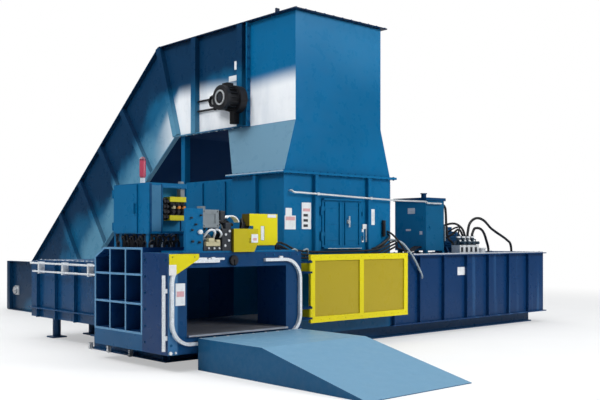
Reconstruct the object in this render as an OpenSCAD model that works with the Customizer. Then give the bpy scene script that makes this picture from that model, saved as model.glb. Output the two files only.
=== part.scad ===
// Two-ram horizontal baler with a wire tier at the bale exit, a sloping feed conveyor, a hopper,
// a hydraulic power unit and a steel ramp that the finished bales slide down.
// Millimetres. While the parts are drawn, X runs from the middle of the bale exit towards the
// main cylinder, Y from the front of the tier towards the feed conveyor, and Z up from the floor.
// place() then puts the origin on the floor under the middle of the whole machine.

/* [Bale] */
// Width of a bale, across the exit opening
bale_w = 1490; // [1300:10:1600]
// Height of a bale and of both ram faces
bale_h = 760; // [650:10:850]
// Length of a bale between the front and the rear chamber wall
bale_l = 1050; // [900:10:1200]

/* [Weldments] */
// Thickness of the heavy chamber plates
plate_t = 30; // [20:2:40]
// Thickness of the stiffening ribs
rib_t = 25; // [16:1:36]
// Thickness of the hopper and conveyor sheet
sheet_t = 8; // [5:1:12]
// Width of the bolting flanges
flange_w = 70; // [50:5:90]
// Thickness of the bolting flanges
flange_t = 16; // [10:1:24]

/* [Base] */
// Height of the feet under the base frame
foot_h = 190; // [120:10:260]
// Diameter of a foot's column
foot_d = 120; // [80:5:150]
// Side of a foot's square pad
pad_w = 220; // [180:10:260]
// Thickness of a foot's pad and of its top plate
pad_t = 20; // [12:1:30]
// How far the skids lie inside the base's long sides
skid_in = 150; // [120:10:250]
// Width of a skid
skid_w = 140; // [100:10:180]
// How far the base reaches past the skids at the exit end
skid_end = 420; // [300:10:500]
// Depth of the base frame
base_h = 190; // [140:10:240]
// Thickness of the floor wear plates
liner_t = 20; // [12:1:30]

/* [Bale chamber] */
// Width of the post between the bale exit and the charging box
post_w = 425; // [350:5:500]
// Depth of the rib grid on the chamber's end wall
end_rib_d = 225; // [150:5:260]
// Number of upright ribs on the end wall
end_rib_n = 4; // [3:1:6]
// Height from one shelf of the end wall's rib grid to the next
end_shelf_pitch = 340; // [280:10:400]
// Height of the roof and its ribs above the tunnel
roof_d = 230; // [160:10:280]
// Length of the bevel at the roof's rear edge
bevel_y = 230; // [120:10:300]
// Height of the bevel at the roof's rear edge
bevel_z = 115; // [60:5:150]

/* [Charging box] */
// Length of the charging box along the main ram's stroke
charge_l = 2100; // [1900:10:2400]
// Height of the charging box above the chamber floor
charge_h = 1980; // [1880:10:2300]
// How far the charging box ribs stand out
charge_rib_d = 55; // [40:5:80]
// Width of a charging box rib
charge_rib_w = 60; // [40:5:90]
// Distance from the door opening to the middle of the rib beside it
charge_rib_gap = 160; // [120:5:200]
// Distance from the box's left edge to the door opening
door_x = 715; // [600:5:800]
// Height of the door opening's sill above the chamber floor
door_z = 1000; // [950:10:1050]
// Width of the door opening
door_w = 730; // [600:10:760]
// Height of the door opening
door_h = 600; // [520:10:700]
// Thickness of a door leaf
leaf_t = 14; // [10:1:24]
// How far a door leaf laps over the edge of the opening
leaf_lap = 25; // [15:1:40]

/* [Hopper] */
// Width of the upright hopper chute
chute_w = 1680; // [1500:10:1800]
// Height of the upright chute above the sloping part
chute_h = 1490; // [1300:10:1600]
// Depth of the sloping part at its top
flare_d = 1480; // [1400:10:1600]
// Height of the hopper's top edge above the floor
overall_h = 4580; // [4400:10:4800]
// Depth of the chute, up to its seam with the conveyor
chute_d = 980; // [850:10:1100]

/* [Feed conveyor] */
// Angle of the conveyor's climb
slope = 37.5; // [34:0.5:40]
// Distance of the lower knee of the conveyor sides behind the tier's front
knee_y = 3320; // [3200:10:3500]
// Distance of the conveyor's loading end behind the tier's front
tail_y = 9600; // [9300:10:10000]
// Height of the sides at the loading end
tail_h = 1020; // [950:10:1150]
// Height of the belt above the lower edge of the conveyor sides
belt_h = 710; // [690:5:740]
// Thickness of a belt slat
belt_t = 16; // [10:1:30]
// Radius of the belt's inner face round the head and the tail
wheel_r = 280; // [260:5:290]
// Radius of the belt's centre line at the two bends
bend_r = 900; // [700:10:1000]
// Pitch of the belt slats
slat_pitch = 150; // [130:5:180]
// Height of the cleat on each slat
cleat_h = 35; // [20:1:45]
// Thickness of the cleat on each slat
cleat_t = 20; // [12:1:30]
// Gap between the belt's edge and the side plates
belt_gap = 20; // [12:1:35]
// Distance of the head shaft behind the tier's front
head_y = 2190; // [2150:10:2250]
// Distance of the tail shaft from the loading end
tail_in = 340; // [325:5:400]
// Radius of the head and tail shafts
shaft_r = 45; // [35:1:55]
// Number of teeth on a belt sprocket
wheel_teeth = 12; // [8:1:16]
// Thickness of a belt sprocket
wheel_t = 40; // [25:1:60]
// Width of an upright channel on the conveyor sides
side_rib_w = 120; // [80:5:150]
// How far the channels stand out from the sides
side_rib_d = 80; // [50:5:100]
// Distance between the channels down the slope
side_rib_pitch = 950; // [850:10:1100]
// Side of the square legs
leg_w = 100; // [80:5:120]
// How far the tall legs stand before the conveyor's knee
leg_in = 160; // [120:10:240]
// Distance from the tall legs to the short ones
leg_pitch = 1900; // [1600:50:2000]

/* [Main ram] */
// Length of the main ram's housing
housing_l = 4130; // [4100:10:4500]
// Height of the housing above its feet
housing_h = 1050; // [1020:10:1150]
// Distance between the housing's uprights
upright_pitch = 590; // [450:10:700]
// Gap between a ram and the walls that guide it
ram_gap = 3; // [2:0.5:6]
// Lift of the ram's shoes above the wear plates
shoe_gap = 0.3; // [0.2:0.1:0.5]
// Thickness of a ram's face plate
face_t = 80; // [60:5:110]
// Length that the main ram is longer than its stroke
ram_over = 90; // [60:10:120]
// Radius of the main cylinder's rod
rod_r = 90; // [70:1:100]
// Radius of the main cylinder's bore
bore_r = 125; // [112:1:140]
// Thickness of a cylinder's tube
tube_t = 25; // [18:1:35]
// Clearance round a rod or a shaft in its bore
run_gap = 0.08; // [0.04:0.01:0.1]
// Depth of the shear blades
blade_h = 90; // [60:5:110]
// Thickness of the shear blades
blade_t = 28; // [20:1:32]

/* [Ejector] */
// Depth of the ejector platen
platen_d = 250; // [200:10:280]
// Width of the narrow part of the ejector's housing
eject_w = 1200; // [1000:10:1260]
// Length of the ejector's housing behind the chamber
eject_l = 2650; // [2600:10:2900]
// Height of the underside of the ejector's housing
eject_z = 330; // [300:5:360]
// Radius of the ejector's rod
eject_rod_r = 60; // [45:1:70]
// Radius of the ejector cylinder's bore
eject_bore_r = 90; // [80:1:100]

/* [Tier] */
// Depth of the tier from its front face to the chamber wall
tier_d = 570; // [500:10:650]
// Height of the tier's top above the tunnel
tier_rise = 170; // [140:5:200]
// Thickness of the tier's front and rear plates
tier_t = 20; // [12:1:28]
// Width of the wire track's loop
track_w = 1960; // [1900:10:1980]
// Height of the wire track's loop
track_h = 975; // [940:5:990]
// Outer corner radius of the wire track
track_r = 270; // [200:5:300]
// Width of the track's channel
track_t = 38; // [30:1:45]
// Depth of the track's channel
track_d = 40; // [30:1:50]
// Left end of the gap in the track's top run
gap_x0 = -310; // [-360:5:-260]
// Right end of the gap in the track's top run
gap_x1 = 385; // [350:5:420]
// Radius of the wire guide tube at the tier's left edge
guide_r = 20; // [14:1:26]
// Distance of the guide tube's middle from the tier's side
guide_off = 45; // [38:1:60]

/* [Tier head] */
// Radius of the wire feed wheels
feed_r = 95; // [80:1:105]
// Width of a wire feed wheel
feed_t = 36; // [24:1:44]
// Gap between the two wire feed wheels, which the wire runs through
wire_gap = 3; // [2:0.5:5]
// Radius of the feed wheel spindles
spindle_r = 16; // [12:1:20]
// Radius of the twister pinion
twist_r = 62; // [50:1:70]
// Number of teeth on the twister pinion
twist_teeth = 18; // [12:1:24]

/* [Guard door] */
// Length of the guard door
guard_l = 1940; // [1800:10:2000]
// Height of the guard door
guard_h = 900; // [820:10:930]
// Height of the door's lower edge above the ramp
guard_lift = 20; // [12:1:40]
// Width of the door's frame tube
guard_frame = 80; // [60:5:100]
// Thickness of the door's frame tube
guard_t = 40; // [30:1:50]
// Distance of the hinge line from the tier's side
hinge_out = 210; // [180:5:240]
// Radius of the guard door's hinge pins
guard_pin_r = 15; // [10:1:20]

/* [Ramp] */
// Width of the ramp
ramp_w = 1570; // [1500:10:1700]
// Distance of the ramp's middle from the middle of the bale exit
ramp_off = 165; // [100:5:200]
// Length of the ramp's level deck
deck_l = 1130; // [900:10:1300]
// Length of the ramp's slope over the floor
slope_l = 1500; // [1200:10:1800]
// How far the deck lies below the chamber floor
deck_drop = 40; // [30:1:60]
// Thickness of the ramp's plate
deck_t = 12; // [8:1:20]

/* [Power unit] */
// Width of the oil reservoir
tank_w = 540; // [450:10:600]
// Depth of the oil reservoir
tank_d = 660; // [560:10:720]
// Height of the oil reservoir
tank_h = 860; // [750:10:950]
// Distance of the reservoir from the charging box
tank_x = 1230; // [1150:10:1300]
// Radius of the reservoir's rounded edge
tank_r = 120; // [80:5:150]
// Radius of the pump motor
motor_r = 150; // [120:5:170]
// Length of the pump motor
motor_l = 420; // [360:10:480]
// Radius of the large hydraulic hoses
hose_r = 22; // [16:1:26]
// Radius of the thin hoses and pipes
pipe_r = 14; // [10:1:18]

/* [Electrical box] */
// Width of the electrical box
elec_w = 530; // [460:10:580]
// Depth of the electrical box
elec_d = 800; // [720:10:860]
// Height of the electrical box
elec_h = 600; // [540:10:660]
// Height of the stands under the electrical box
elec_lift = 160; // [120:5:200]
// Depth of the bay for the valves at the box's front
bay_d = 150; // [120:5:200]
// Width of the bay for the valves
bay_w = 340; // [300:5:360]
// Radius of the warning beacon
beacon_r = 38; // [30:1:50]

/* [Hidden] */
$fn = 48;

// Axial gap at a hinge or a shoulder, and the small gap between pieces that move apart
gap = 0.3;
touch = 1;

half = bale_w / 2;
front_y = tier_d;
in_y0 = front_y + plate_t;
in_y1 = in_y0 + bale_l;
back_y = in_y1 + plate_t;
ram_y = (in_y0 + in_y1) / 2;

base_top = foot_h + base_h;
floor_z = base_top + liner_t;
tunnel_z = floor_z + bale_h;
roof_z = tunnel_z + roof_d;
charge_z = floor_z + charge_h;
hop_z = overall_h;
chute_z = hop_z - chute_h;
rod_z = floor_z + bale_h / 2;

end_x = -half - plate_t - end_rib_d;
charge_x = half + post_w;
charge_x1 = charge_x + charge_l;
housing_x1 = charge_x1 + housing_l;
housing_z1 = foot_h + housing_h;
chute_x = charge_x + (charge_l - chute_w) / 2;
chute_x1 = chute_x + chute_w;

deck_z = floor_z - deck_drop;
tier_top = tunnel_z + tier_rise;
plate_y = track_d;
track_x = track_w / 2;
track_z1 = tunnel_z + (track_h - bale_h) * 0.44;
track_z0 = track_z1 - track_h;

seam_y = front_y + chute_d;
foot_y = knee_y + chute_z / tan(slope);
line_h = belt_h - belt_t - wheel_r;
head_z = chute_z + line_h;
tail_shaft_y = tail_y - tail_in;
tail_z = line_h;

x_min = end_x - guide_off - guide_r;
x_max = housing_x1;
y_min = -deck_l - slope_l;
y_max = tail_y;
mid_x = (x_min + x_max) / 2;
mid_y = (y_min + y_max) / 2;

blue = [0.09, 0.38, 0.58];
deep_blue = [0.05, 0.22, 0.40];
yellow = [0.90, 0.82, 0.12];
bare_steel = [0.55, 0.56, 0.57];
silver = [0.78, 0.80, 0.82];
chrome = [0.86, 0.87, 0.88];
black = [0.08, 0.08, 0.09];
white = [0.92, 0.93, 0.92];

// Moves a part from the drawing axes to the machine's own origin
module place() {
    translate([-mid_x, -mid_y, 0]) children();
}

// A block between two opposite corners
module span(a, b) {
    translate(a) cube(b - a);
}

// Extrudes an outline drawn in Y and Z along X
module along_x(x0, length) {
    translate([x0, 0, 0]) rotate([90, 0, 90]) linear_extrude(length) children();
}

// Extrudes an outline drawn in X and Z along Y
module along_y(y0, length) {
    translate([0, y0 + length, 0]) rotate([90, 0, 0]) linear_extrude(length) children();
}

module rod_x(x0, x1, y, z, r) {
    translate([x0, y, z]) rotate([0, 90, 0]) cylinder(h = x1 - x0, r = r);
}

module rod_y(y0, y1, x, z, r) {
    translate([x, y0, z]) rotate([-90, 0, 0]) cylinder(h = y1 - y0, r = r);
}

module rod_z_at(z0, z1, x, y, r) {
    translate([x, y, z0]) cylinder(h = z1 - z0, r = r);
}

// A plate in X and Y from z0 to z1, open in a grid of nx by ny bays with walls t thick
module bay_grid(a, b, nx, ny, t) {
    wx = (b[0] - a[0] - t) / nx;
    wy = (b[1] - a[1] - t) / ny;
    difference() {
        span(a, b);
        for (i = [0:nx - 1], j = [0:ny - 1]) {
            corner = [a[0] + t + i * wx, a[1] + t + j * wy, a[2] - touch];
            translate(corner) cube([wx - t, wy - t, b[2] - a[2] + 2 * touch]);
        }
    }
}

// A tube swept along a smooth curve through the given points
function unit(v) = v / norm(v);
function blend_point(a, b, c, d, t) =
    let (m1 = norm(c - b) * unit(c - a), m2 = norm(c - b) * unit(d - b))
    (2 * t * t * t - 3 * t * t + 1) * b + (t * t * t - 2 * t * t + t) * m1
        + (3 * t * t - 2 * t * t * t) * c + (t * t * t - t * t) * m2;
function smooth_route(p, steps) = [
    for (i = [0:len(p) - 2], k = [0:steps - 1])
        blend_point(i == 0 ? 2 * p[0] - p[1] : p[i - 1], p[i], p[i + 1],
            i == len(p) - 2 ? 2 * p[i + 1] - p[i] : p[i + 2], k / steps),
    p[len(p) - 1]
];
function ring(c, along, r, sides) =
    let (u = unit(cross(along, [0.31, 0.47, 0.83])), v = cross(along, u))
    [for (k = [0:sides - 1]) c + r * (cos(360 * k / sides) * u + sin(360 * k / sides) * v)];
module swept_tube(points, r, steps = 4, sides = 8) {
    route = smooth_route(points, steps);
    n = len(route);
    rings = [
        for (i = [0:n - 1])
            each ring(route[i], unit(route[min(i + 1, n - 1)] - route[max(i - 1, 0)]), r, sides)
    ];
    walls = [
        for (i = [0:n - 2], k = [0:sides - 1])
            let (a = i * sides + k, b = i * sides + (k + 1) % sides)
            each [[a, a + sides, b], [b, a + sides, b + sides]]
    ];
    first = [for (k = [0:sides - 1]) k];
    last = [for (k = [0:sides - 1]) (n - 1) * sides + sides - 1 - k];
    polyhedron(points = rings, faces = concat([first, last], walls), convexity = 6);
}

// Base and feet

module foot(x, y, top) {
    translate([x, y, 0]) {
        translate([-pad_w / 2, -pad_w / 2, 0]) cube([pad_w, pad_w, pad_t]);
        cylinder(h = top, d = foot_d);
        translate([-pad_w / 2 + pad_t, -pad_w / 2 + pad_t, top - pad_t])
            cube([pad_w - 2 * pad_t, pad_w - 2 * pad_t, pad_t]);
    }
}

// A skid of I section along X or Y
module skid(x0, y0, x1, y1) {
    along = x1 - x0 > y1 - y0;
    side_x = along ? 0 : (skid_w - pad_t) / 2;
    side_y = along ? (skid_w - pad_t) / 2 : 0;
    span([x0, y0, 0], [x1, y1, pad_t]);
    span([x0 + side_x, y0 + side_y, pad_t], [x1 - side_x, y1 - side_y, foot_h - pad_t]);
    span([x0, y0, foot_h - pad_t], [x1, y1, foot_h]);
}

module feet() {
    skid_x0 = end_x + skid_end;
    skid_y0 = front_y + skid_in;
    skid_y1 = back_y - skid_in;
    reach = back_y + eject_l / 3;
    color(deep_blue) place() {
        for (y = [skid_y0, skid_y1 - skid_w])
            skid(skid_x0, y, housing_x1 - skid_in, y + skid_w);
        for (x = [skid_x0, -skid_x0 - skid_w]) {
            skid(x, skid_y0, x + skid_w, reach);
            rod_z_at(foot_h, eject_z, x + skid_w / 2, reach - pad_w, foot_d / 2);
        }
        for (x = [-eject_w / 4, eject_w / 4])
            foot(x, back_y + eject_l - pad_w, eject_z);
    }
}

// A floor of ribs with a plate on top and two wide lower flanges that rest on the skids
module ribbed_floor(x0, x1, nx) {
    shelf = skid_in + skid_w;
    bay_grid([x0, front_y, foot_h], [x1, back_y, base_top - rib_t], nx, 2, rib_t);
    span([x0, front_y, base_top - rib_t], [x1, back_y, base_top]);
    for (y = [front_y, back_y - shelf])
        span([x0, y, foot_h], [x1, y + shelf, foot_h + pad_t]);
}

module base_frame() {
    color(blue) place() ribbed_floor(end_x, charge_x1, 8);
}

module floor_liner() {
    color(bare_steel) place() {
        span([-half, 0, base_top], [half, back_y + pocket_d - plate_t, floor_z]);
        span([half, in_y0, base_top], [ram_x0 + ram_l + 50, in_y1, floor_z]);
    }
}

// Bale chamber

bevel_a = atan(bevel_z / bevel_y);
// The end wall's outline in Y and Z, moved in by d on every side
module end_outline(d) {
    y0 = front_y + d;
    y1 = back_y - d;
    z0 = base_top + d;
    z1 = roof_z - d;
    polygon([[y0, z0], [y1, z0], [y1, roof_z - bevel_z - d * tan((90 - bevel_a) / 2)],
        [back_y - bevel_y - d * tan(bevel_a / 2), z1], [y0, z1]]);
}

module end_grid() {
    cell_w = (back_y - front_y - rib_t) / (end_rib_n - 1);
    shelf_z = [base_top, base_top + end_shelf_pitch, base_top + 2 * end_shelf_pitch, roof_z - rib_t];
    along_x(end_x, end_rib_d) difference() {
        end_outline(0);
        intersection() {
            end_outline(rib_t);
            for (i = [0:end_rib_n - 2], j = [0:2])
                translate([front_y + rib_t + i * cell_w, shelf_z[j] + rib_t])
                    square([cell_w - rib_t, shelf_z[j + 1] - shelf_z[j] - rib_t]);
        }
    }
}

module bevel_wedge() {
    along_x(end_x - touch, charge_x - end_x + 2 * touch)
        polygon([[back_y - bevel_y, roof_z], [back_y, roof_z - bevel_z],
            [back_y + plate_t, roof_z - bevel_z], [back_y + plate_t, roof_z + plate_t],
            [back_y - bevel_y, roof_z + plate_t]]);
}

module exit_opening() {
    translate([-half, base_top]) square([bale_w, tunnel_z - base_top]);
}

module bale_chamber() {
    color(blue) place() difference() {
        union() {
            end_grid();
            along_x(end_x + end_rib_d, plate_t) end_outline(0);
            along_y(front_y, plate_t) difference() {
                translate([end_x, base_top]) square([charge_x - end_x, roof_z - base_top]);
                exit_opening();
            }
            along_y(in_y1, plate_t) difference() {
                translate([end_x, base_top]) square([charge_x - end_x, roof_z - bevel_z - base_top]);
                exit_opening();
            }
            span([-half, in_y0, tunnel_z], [charge_x, in_y1, tunnel_z + plate_t]);
            bay_grid([-half, in_y0, tunnel_z + plate_t], [charge_x, in_y1, roof_z], 4, 2, rib_t);
        }
        bevel_wedge();
    }
}

// Charging box

box_rib_x = [charge_x + door_x - charge_rib_gap, charge_x + door_x + door_w + charge_rib_gap];
opening_z = floor_z + door_z;

module charging_box() {
    color(blue) place() difference() {
        union() {
            span([charge_x, front_y, base_top], [charge_x1, back_y, charge_z]);
            span([charge_x - flange_w, front_y - flange_w, charge_z - flange_t],
                [charge_x1 + flange_w, back_y + flange_w, charge_z]);
            for (x = box_rib_x) {
                span([x - charge_rib_w / 2, front_y - charge_rib_d, tunnel_z],
                    [x + charge_rib_w / 2, front_y, charge_z - flange_t]);
                span([x - charge_rib_w / 2, back_y, base_top],
                    [x + charge_rib_w / 2, back_y + charge_rib_d, charge_z - flange_t]);
            }
            for (x = [charge_x - charge_rib_d, charge_x1])
                span([x, ram_y - charge_rib_w / 2, roof_z],
                    [x + charge_rib_d, ram_y + charge_rib_w / 2, charge_z - flange_t]);
            span([charge_x + door_x - leaf_lap, front_y - charge_rib_d, opening_z - leaf_lap - pad_t],
                [charge_x + door_x + door_w + leaf_lap, front_y, opening_z - leaf_lap]);
            span([charge_x + door_x - leaf_lap, front_y - charge_rib_d, opening_z + door_h + leaf_lap],
                [charge_x + door_x + door_w + leaf_lap, front_y, opening_z + door_h + leaf_lap + pad_t]);
            hinge_ears();
        }
        span([charge_x + plate_t, in_y0, base_top - touch],
            [charge_x1 - plate_t, in_y1, charge_z + touch]);
        span([charge_x - touch, in_y0, base_top - touch], [charge_x1 + touch, in_y1, tunnel_z]);
        span([charge_x + door_x, front_y - touch, opening_z],
            [charge_x + door_x + door_w, in_y0 + touch, opening_z + door_h]);
    }
}

module shear_blade() {
    z1 = tunnel_z + blade_h;
    bolt_r = 12;
    color(bare_steel) place() difference() {
        span([charge_x + plate_t, in_y0, tunnel_z], [charge_x + plate_t + blade_t, in_y1, z1]);
        for (i = [0:5])
            rod_x(charge_x, charge_x + plate_t + blade_t + touch,
                in_y0 + bale_l * (i + 0.5) / 6, tunnel_z + blade_h / 2, bolt_r);
    }
}

// Each leaf turns on two lift-off hinges that stand on the box's front wall
leaf_y1 = front_y - gap;
leaf_y0 = leaf_y1 - leaf_t;
leaf_mid = charge_x + door_x + door_w / 2;
leaf_gap = 4;
leaf_z0 = opening_z - leaf_lap + gap;
leaf_z1 = opening_z + door_h + leaf_lap - gap;
knuckle_r = 14;
knuckle_pin_r = 8;
knuckle_h = 60;
knuckle_y = leaf_y0 - 4;
leaf_hinge_x = [charge_x + door_x - leaf_lap - knuckle_r - 6,
    charge_x + door_x + door_w + leaf_lap + knuckle_r + 6];
knuckle_zs = [leaf_z0 + 90, leaf_z1 - 90 - 2 * knuckle_h];

// The fixed half of each hinge: an ear on the wall, a knuckle and the pin that stands up from it
module hinge_ears() {
    for (i = [0, 1], z = knuckle_zs) {
        x = leaf_hinge_x[i];
        span([x - knuckle_r, knuckle_y, z], [x + knuckle_r, front_y, z + knuckle_h]);
        rod_z_at(z, z + knuckle_h, x, knuckle_y, knuckle_r);
        rod_z_at(z + knuckle_h, z + 2 * knuckle_h - 6, x, knuckle_y, knuckle_pin_r);
    }
}

// One leaf: side is -1 for the left leaf, hinged at its left edge, and 1 for the right one
module door_leaf(side) {
    i = side < 0 ? 0 : 1;
    hx = leaf_hinge_x[i];
    edge = hx - side * (knuckle_r + 6);
    meet = leaf_mid + side * leaf_gap / 2;
    x0 = min(edge, meet);
    x1 = max(edge, meet);
    difference() {
        union() {
            span([x0, leaf_y0, leaf_z0], [x1, leaf_y1, leaf_z1]);
            for (x = [x0 + 40, x1 - 40 - rib_t])
                span([x, leaf_y0 - 18, leaf_z0 + 30], [x + rib_t, leaf_y0, leaf_z1 - 30]);
            for (z = knuckle_zs) {
                rod_z_at(z + knuckle_h + gap, z + 2 * knuckle_h, hx, knuckle_y, knuckle_r);
                span([min(hx, edge), knuckle_y - 8, z + knuckle_h + gap],
                    [max(hx, edge), knuckle_y + 4, z + 2 * knuckle_h]);
                span([min(edge, edge - side * 60), knuckle_y - 8, z + knuckle_h + gap],
                    [max(edge, edge - side * 60), leaf_y0, z + 2 * knuckle_h]);
            }
        }
        for (z = knuckle_zs)
            rod_z_at(z + knuckle_h - touch, z + 2 * knuckle_h - 4, hx, knuckle_y,
                knuckle_pin_r + run_gap);
        if (side > 0)
            rod_y(leaf_y0 - touch, leaf_y1 + touch, handle_x, handle_z, handle_pin_r + run_gap);
    }
}

handle_x = leaf_mid + 105;
handle_z = opening_z + door_h * 0.55;
handle_pin_r = 10;

module access_door_left() {
    color(blue) place() door_leaf(-1);
}

module access_door_right() {
    color(blue) place() door_leaf(1);
}

// A turning T handle with its spindle through the right leaf and a cam behind it
module door_handle() {
    hub_r = 26;
    bar = 70;
    color(silver) place() {
        rod_y(leaf_y0 - 34, leaf_y1 + gap, handle_x, handle_z, handle_pin_r);
        rod_y(leaf_y0 - 34, leaf_y0 - gap, handle_x, handle_z, hub_r);
        span([handle_x - 9, leaf_y0 - 46, handle_z - bar], [handle_x + 9, leaf_y0 - 30, handle_z + bar]);
        for (s = [-1, 1])
            rod_y(leaf_y0 - 46, leaf_y0 - 30, handle_x, handle_z + s * bar, 9);
    }
}

// Hopper

module flare_solid(d) {
    intersection() {
        along_y(front_y + d, flare_d + bale_l) polygon([[charge_x + d, charge_z - d],
            [charge_x1 - d, charge_z - d],
            [charge_x1 - d, charge_z], [chute_x1 - d, chute_z], [chute_x + d, chute_z],
            [charge_x + d, charge_z]]);
        along_x(charge_x, charge_l) polygon([[front_y + d, charge_z - d], [back_y - d, charge_z - d],
            [back_y - d, charge_z], [front_y + flare_d - d, chute_z], [front_y + d, chute_z]]);
    }
}

module hopper() {
    lug_w = 60;
    color(blue) place() {
        difference() {
            union() {
                flare_solid(0);
                span([chute_x, front_y, chute_z], [chute_x1, seam_y, hop_z]);
            }
            flare_solid(sheet_t);
            span([chute_x + sheet_t, front_y + sheet_t, chute_z - touch],
                [chute_x1 - sheet_t, seam_y + touch, hop_z + touch]);
        }
        difference() {
            span([charge_x - flange_w, front_y - flange_w, charge_z],
                [charge_x1 + flange_w, back_y + flange_w, charge_z + flange_t]);
            span([charge_x + sheet_t, front_y + sheet_t, charge_z - touch],
                [charge_x1 - sheet_t, back_y - sheet_t, charge_z + flange_t + touch]);
        }
        difference() {
            span([chute_x - flange_w, front_y - flange_w, hop_z - flange_t],
                [chute_x1 + flange_w, seam_y, hop_z]);
            span([chute_x + sheet_t, front_y + sheet_t, hop_z - flange_t - touch],
                [chute_x1 - sheet_t, seam_y + touch, hop_z + touch]);
        }
        for (x = [chute_x - flange_w, chute_x1])
            span([x, seam_y - flange_t, chute_z], [x + flange_w, seam_y, hop_z]);
        for (x = [chute_x - lug_w, chute_x1])
            span([x, front_y + chute_d / 3, hop_z],
                [x + lug_w, front_y + chute_d / 3 + rib_t, hop_z + lug_w]);
    }
}

// Feed conveyor: h is the height of a line above the lower edge of the sides

function knee_at(h) = [knee_y + h * tan(slope / 2), chute_z + h];
function foot_at(h) = [foot_y + h * tan(slope / 2), h];
function brow_at(h, z) = [knee_y + h * tan(slope / 2) + (chute_z + h - z) / tan(slope), z];
function down_slope(s, h) = knee_at(0) + s * [cos(slope), -sin(slope)] + h * [sin(slope), cos(slope)];

// A band of the side between two such lines
module side_band(h0, h1) {
    low = h0 < tail_h ? [foot_at(h0), [tail_y, h0]] : [brow_at(h0, tail_h)];
    end = h0 < tail_h && h1 > tail_h ? [[tail_y, tail_h]] : [];
    high = h1 > tail_h ? [brow_at(h1, tail_h)] : [[tail_y, h1], foot_at(h1)];
    polygon(concat([[seam_y, chute_z + h0], knee_at(h0)], low, end, high,
        [knee_at(h1), [seam_y, chute_z + h1]]));
}

// A channel across the side, from h0 to h1, with its middle on the line from a to b
module cross_bar(a, b, w) {
    along = unit(b - a);
    out = w / 2 * [-along[1], along[0]];
    polygon([a - out, b - out, b + out, a + out]);
}

head_rib_y = [seam_y + 140, head_y + 20, knee_y - 490];
slope_ribs = 4;
module side_bars(h0, h1, w) {
    for (y = [head_rib_y[0], head_rib_y[2]])
        cross_bar([y, chute_z + h0], [y, chute_z + h1], w);
    cross_bar(knee_at(h0), knee_at(h1), w);
    for (i = [1:slope_ribs])
        cross_bar(down_slope(i * side_rib_pitch, h0), down_slope(i * side_rib_pitch, h1), w);
    cross_bar([tail_y - w / 2, h0], [tail_y - w / 2, min(h1, tail_h)], w);
}

shaft_hole = shaft_r + 6;
// The lower side frame with its edge flanges and channels. out is -1 on the left side
module side_frame(x, out) {
    x_out = out < 0 ? x - side_rib_d : x + sheet_t;
    x_edge = out < 0 ? x - flange_w : x + sheet_t;
    difference() {
        union() {
            along_x(x, sheet_t) side_band(0, belt_h);
            along_x(x_edge, flange_w) side_band(0, flange_t);
            difference() {
                along_x(x_out, side_rib_d) side_bars(flange_t, belt_h, side_rib_w);
                along_x(x_out + (out < 0 ? sheet_t : -touch), side_rib_d - sheet_t + touch)
                    side_bars(flange_t + sheet_t, belt_h - sheet_t, side_rib_w - 2 * sheet_t);
            }
        }
        rod_x(x - flange_w, x + 2 * flange_w, head_y, head_z, shaft_hole);
        rod_x(x - flange_w, x + 2 * flange_w, tail_shaft_y, tail_z, shaft_hole);
    }
}

// The upper skirt with its top flange and the upper part of the channels
module side_skirt(x, out) {
    x_out = out < 0 ? x - side_rib_d : x + sheet_t;
    x_edge = out < 0 ? x - flange_w : x + sheet_t;
    along_x(x, sheet_t) side_band(belt_h, chute_h);
    along_x(x_edge, flange_w) side_band(chute_h - flange_t, chute_h);
    span([x_edge, brow_at(chute_h - flange_t, tail_h)[0] - flange_t, tail_h - flange_t],
        [x_edge + flange_w, tail_y, tail_h]);
    difference() {
        along_x(x_out, side_rib_d) side_bars(belt_h, chute_h - flange_t, side_rib_w);
        along_x(x_out + (out < 0 ? sheet_t : -touch), side_rib_d - sheet_t + touch)
            side_bars(belt_h + sheet_t, chute_h - flange_t - sheet_t, side_rib_w - 2 * sheet_t);
    }
}

module conveyor_frame_left() {
    color(blue) place() side_frame(chute_x, -1);
}

module conveyor_frame_right() {
    color(blue) place() side_frame(chute_x1 - sheet_t, 1);
}

module skirt_left() {
    color(deep_blue) place() side_skirt(chute_x, -1);
}

module skirt_right() {
    color(deep_blue) place() side_skirt(chute_x1 - sheet_t, 1);
}

module conveyor_pan() {
    x0 = chute_x + sheet_t;
    pan_w = chute_w - 2 * sheet_t;
    pan_y0 = front_y + flare_d;
    color(deep_blue) place() {
        along_x(x0, pan_w) intersection() {
            side_band(0, sheet_t);
            translate([pan_y0, 0]) square([tail_y, hop_z]);
        }
        along_x(x0, pan_w) translate([tail_y - sheet_t, sheet_t]) square([sheet_t, belt_h]);
        for (i = [1:slope_ribs])
            along_x(x0, pan_w)
                cross_bar(down_slope(i * side_rib_pitch, sheet_t),
                    down_slope(i * side_rib_pitch, 3 * sheet_t), flange_w);
    }
}

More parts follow.
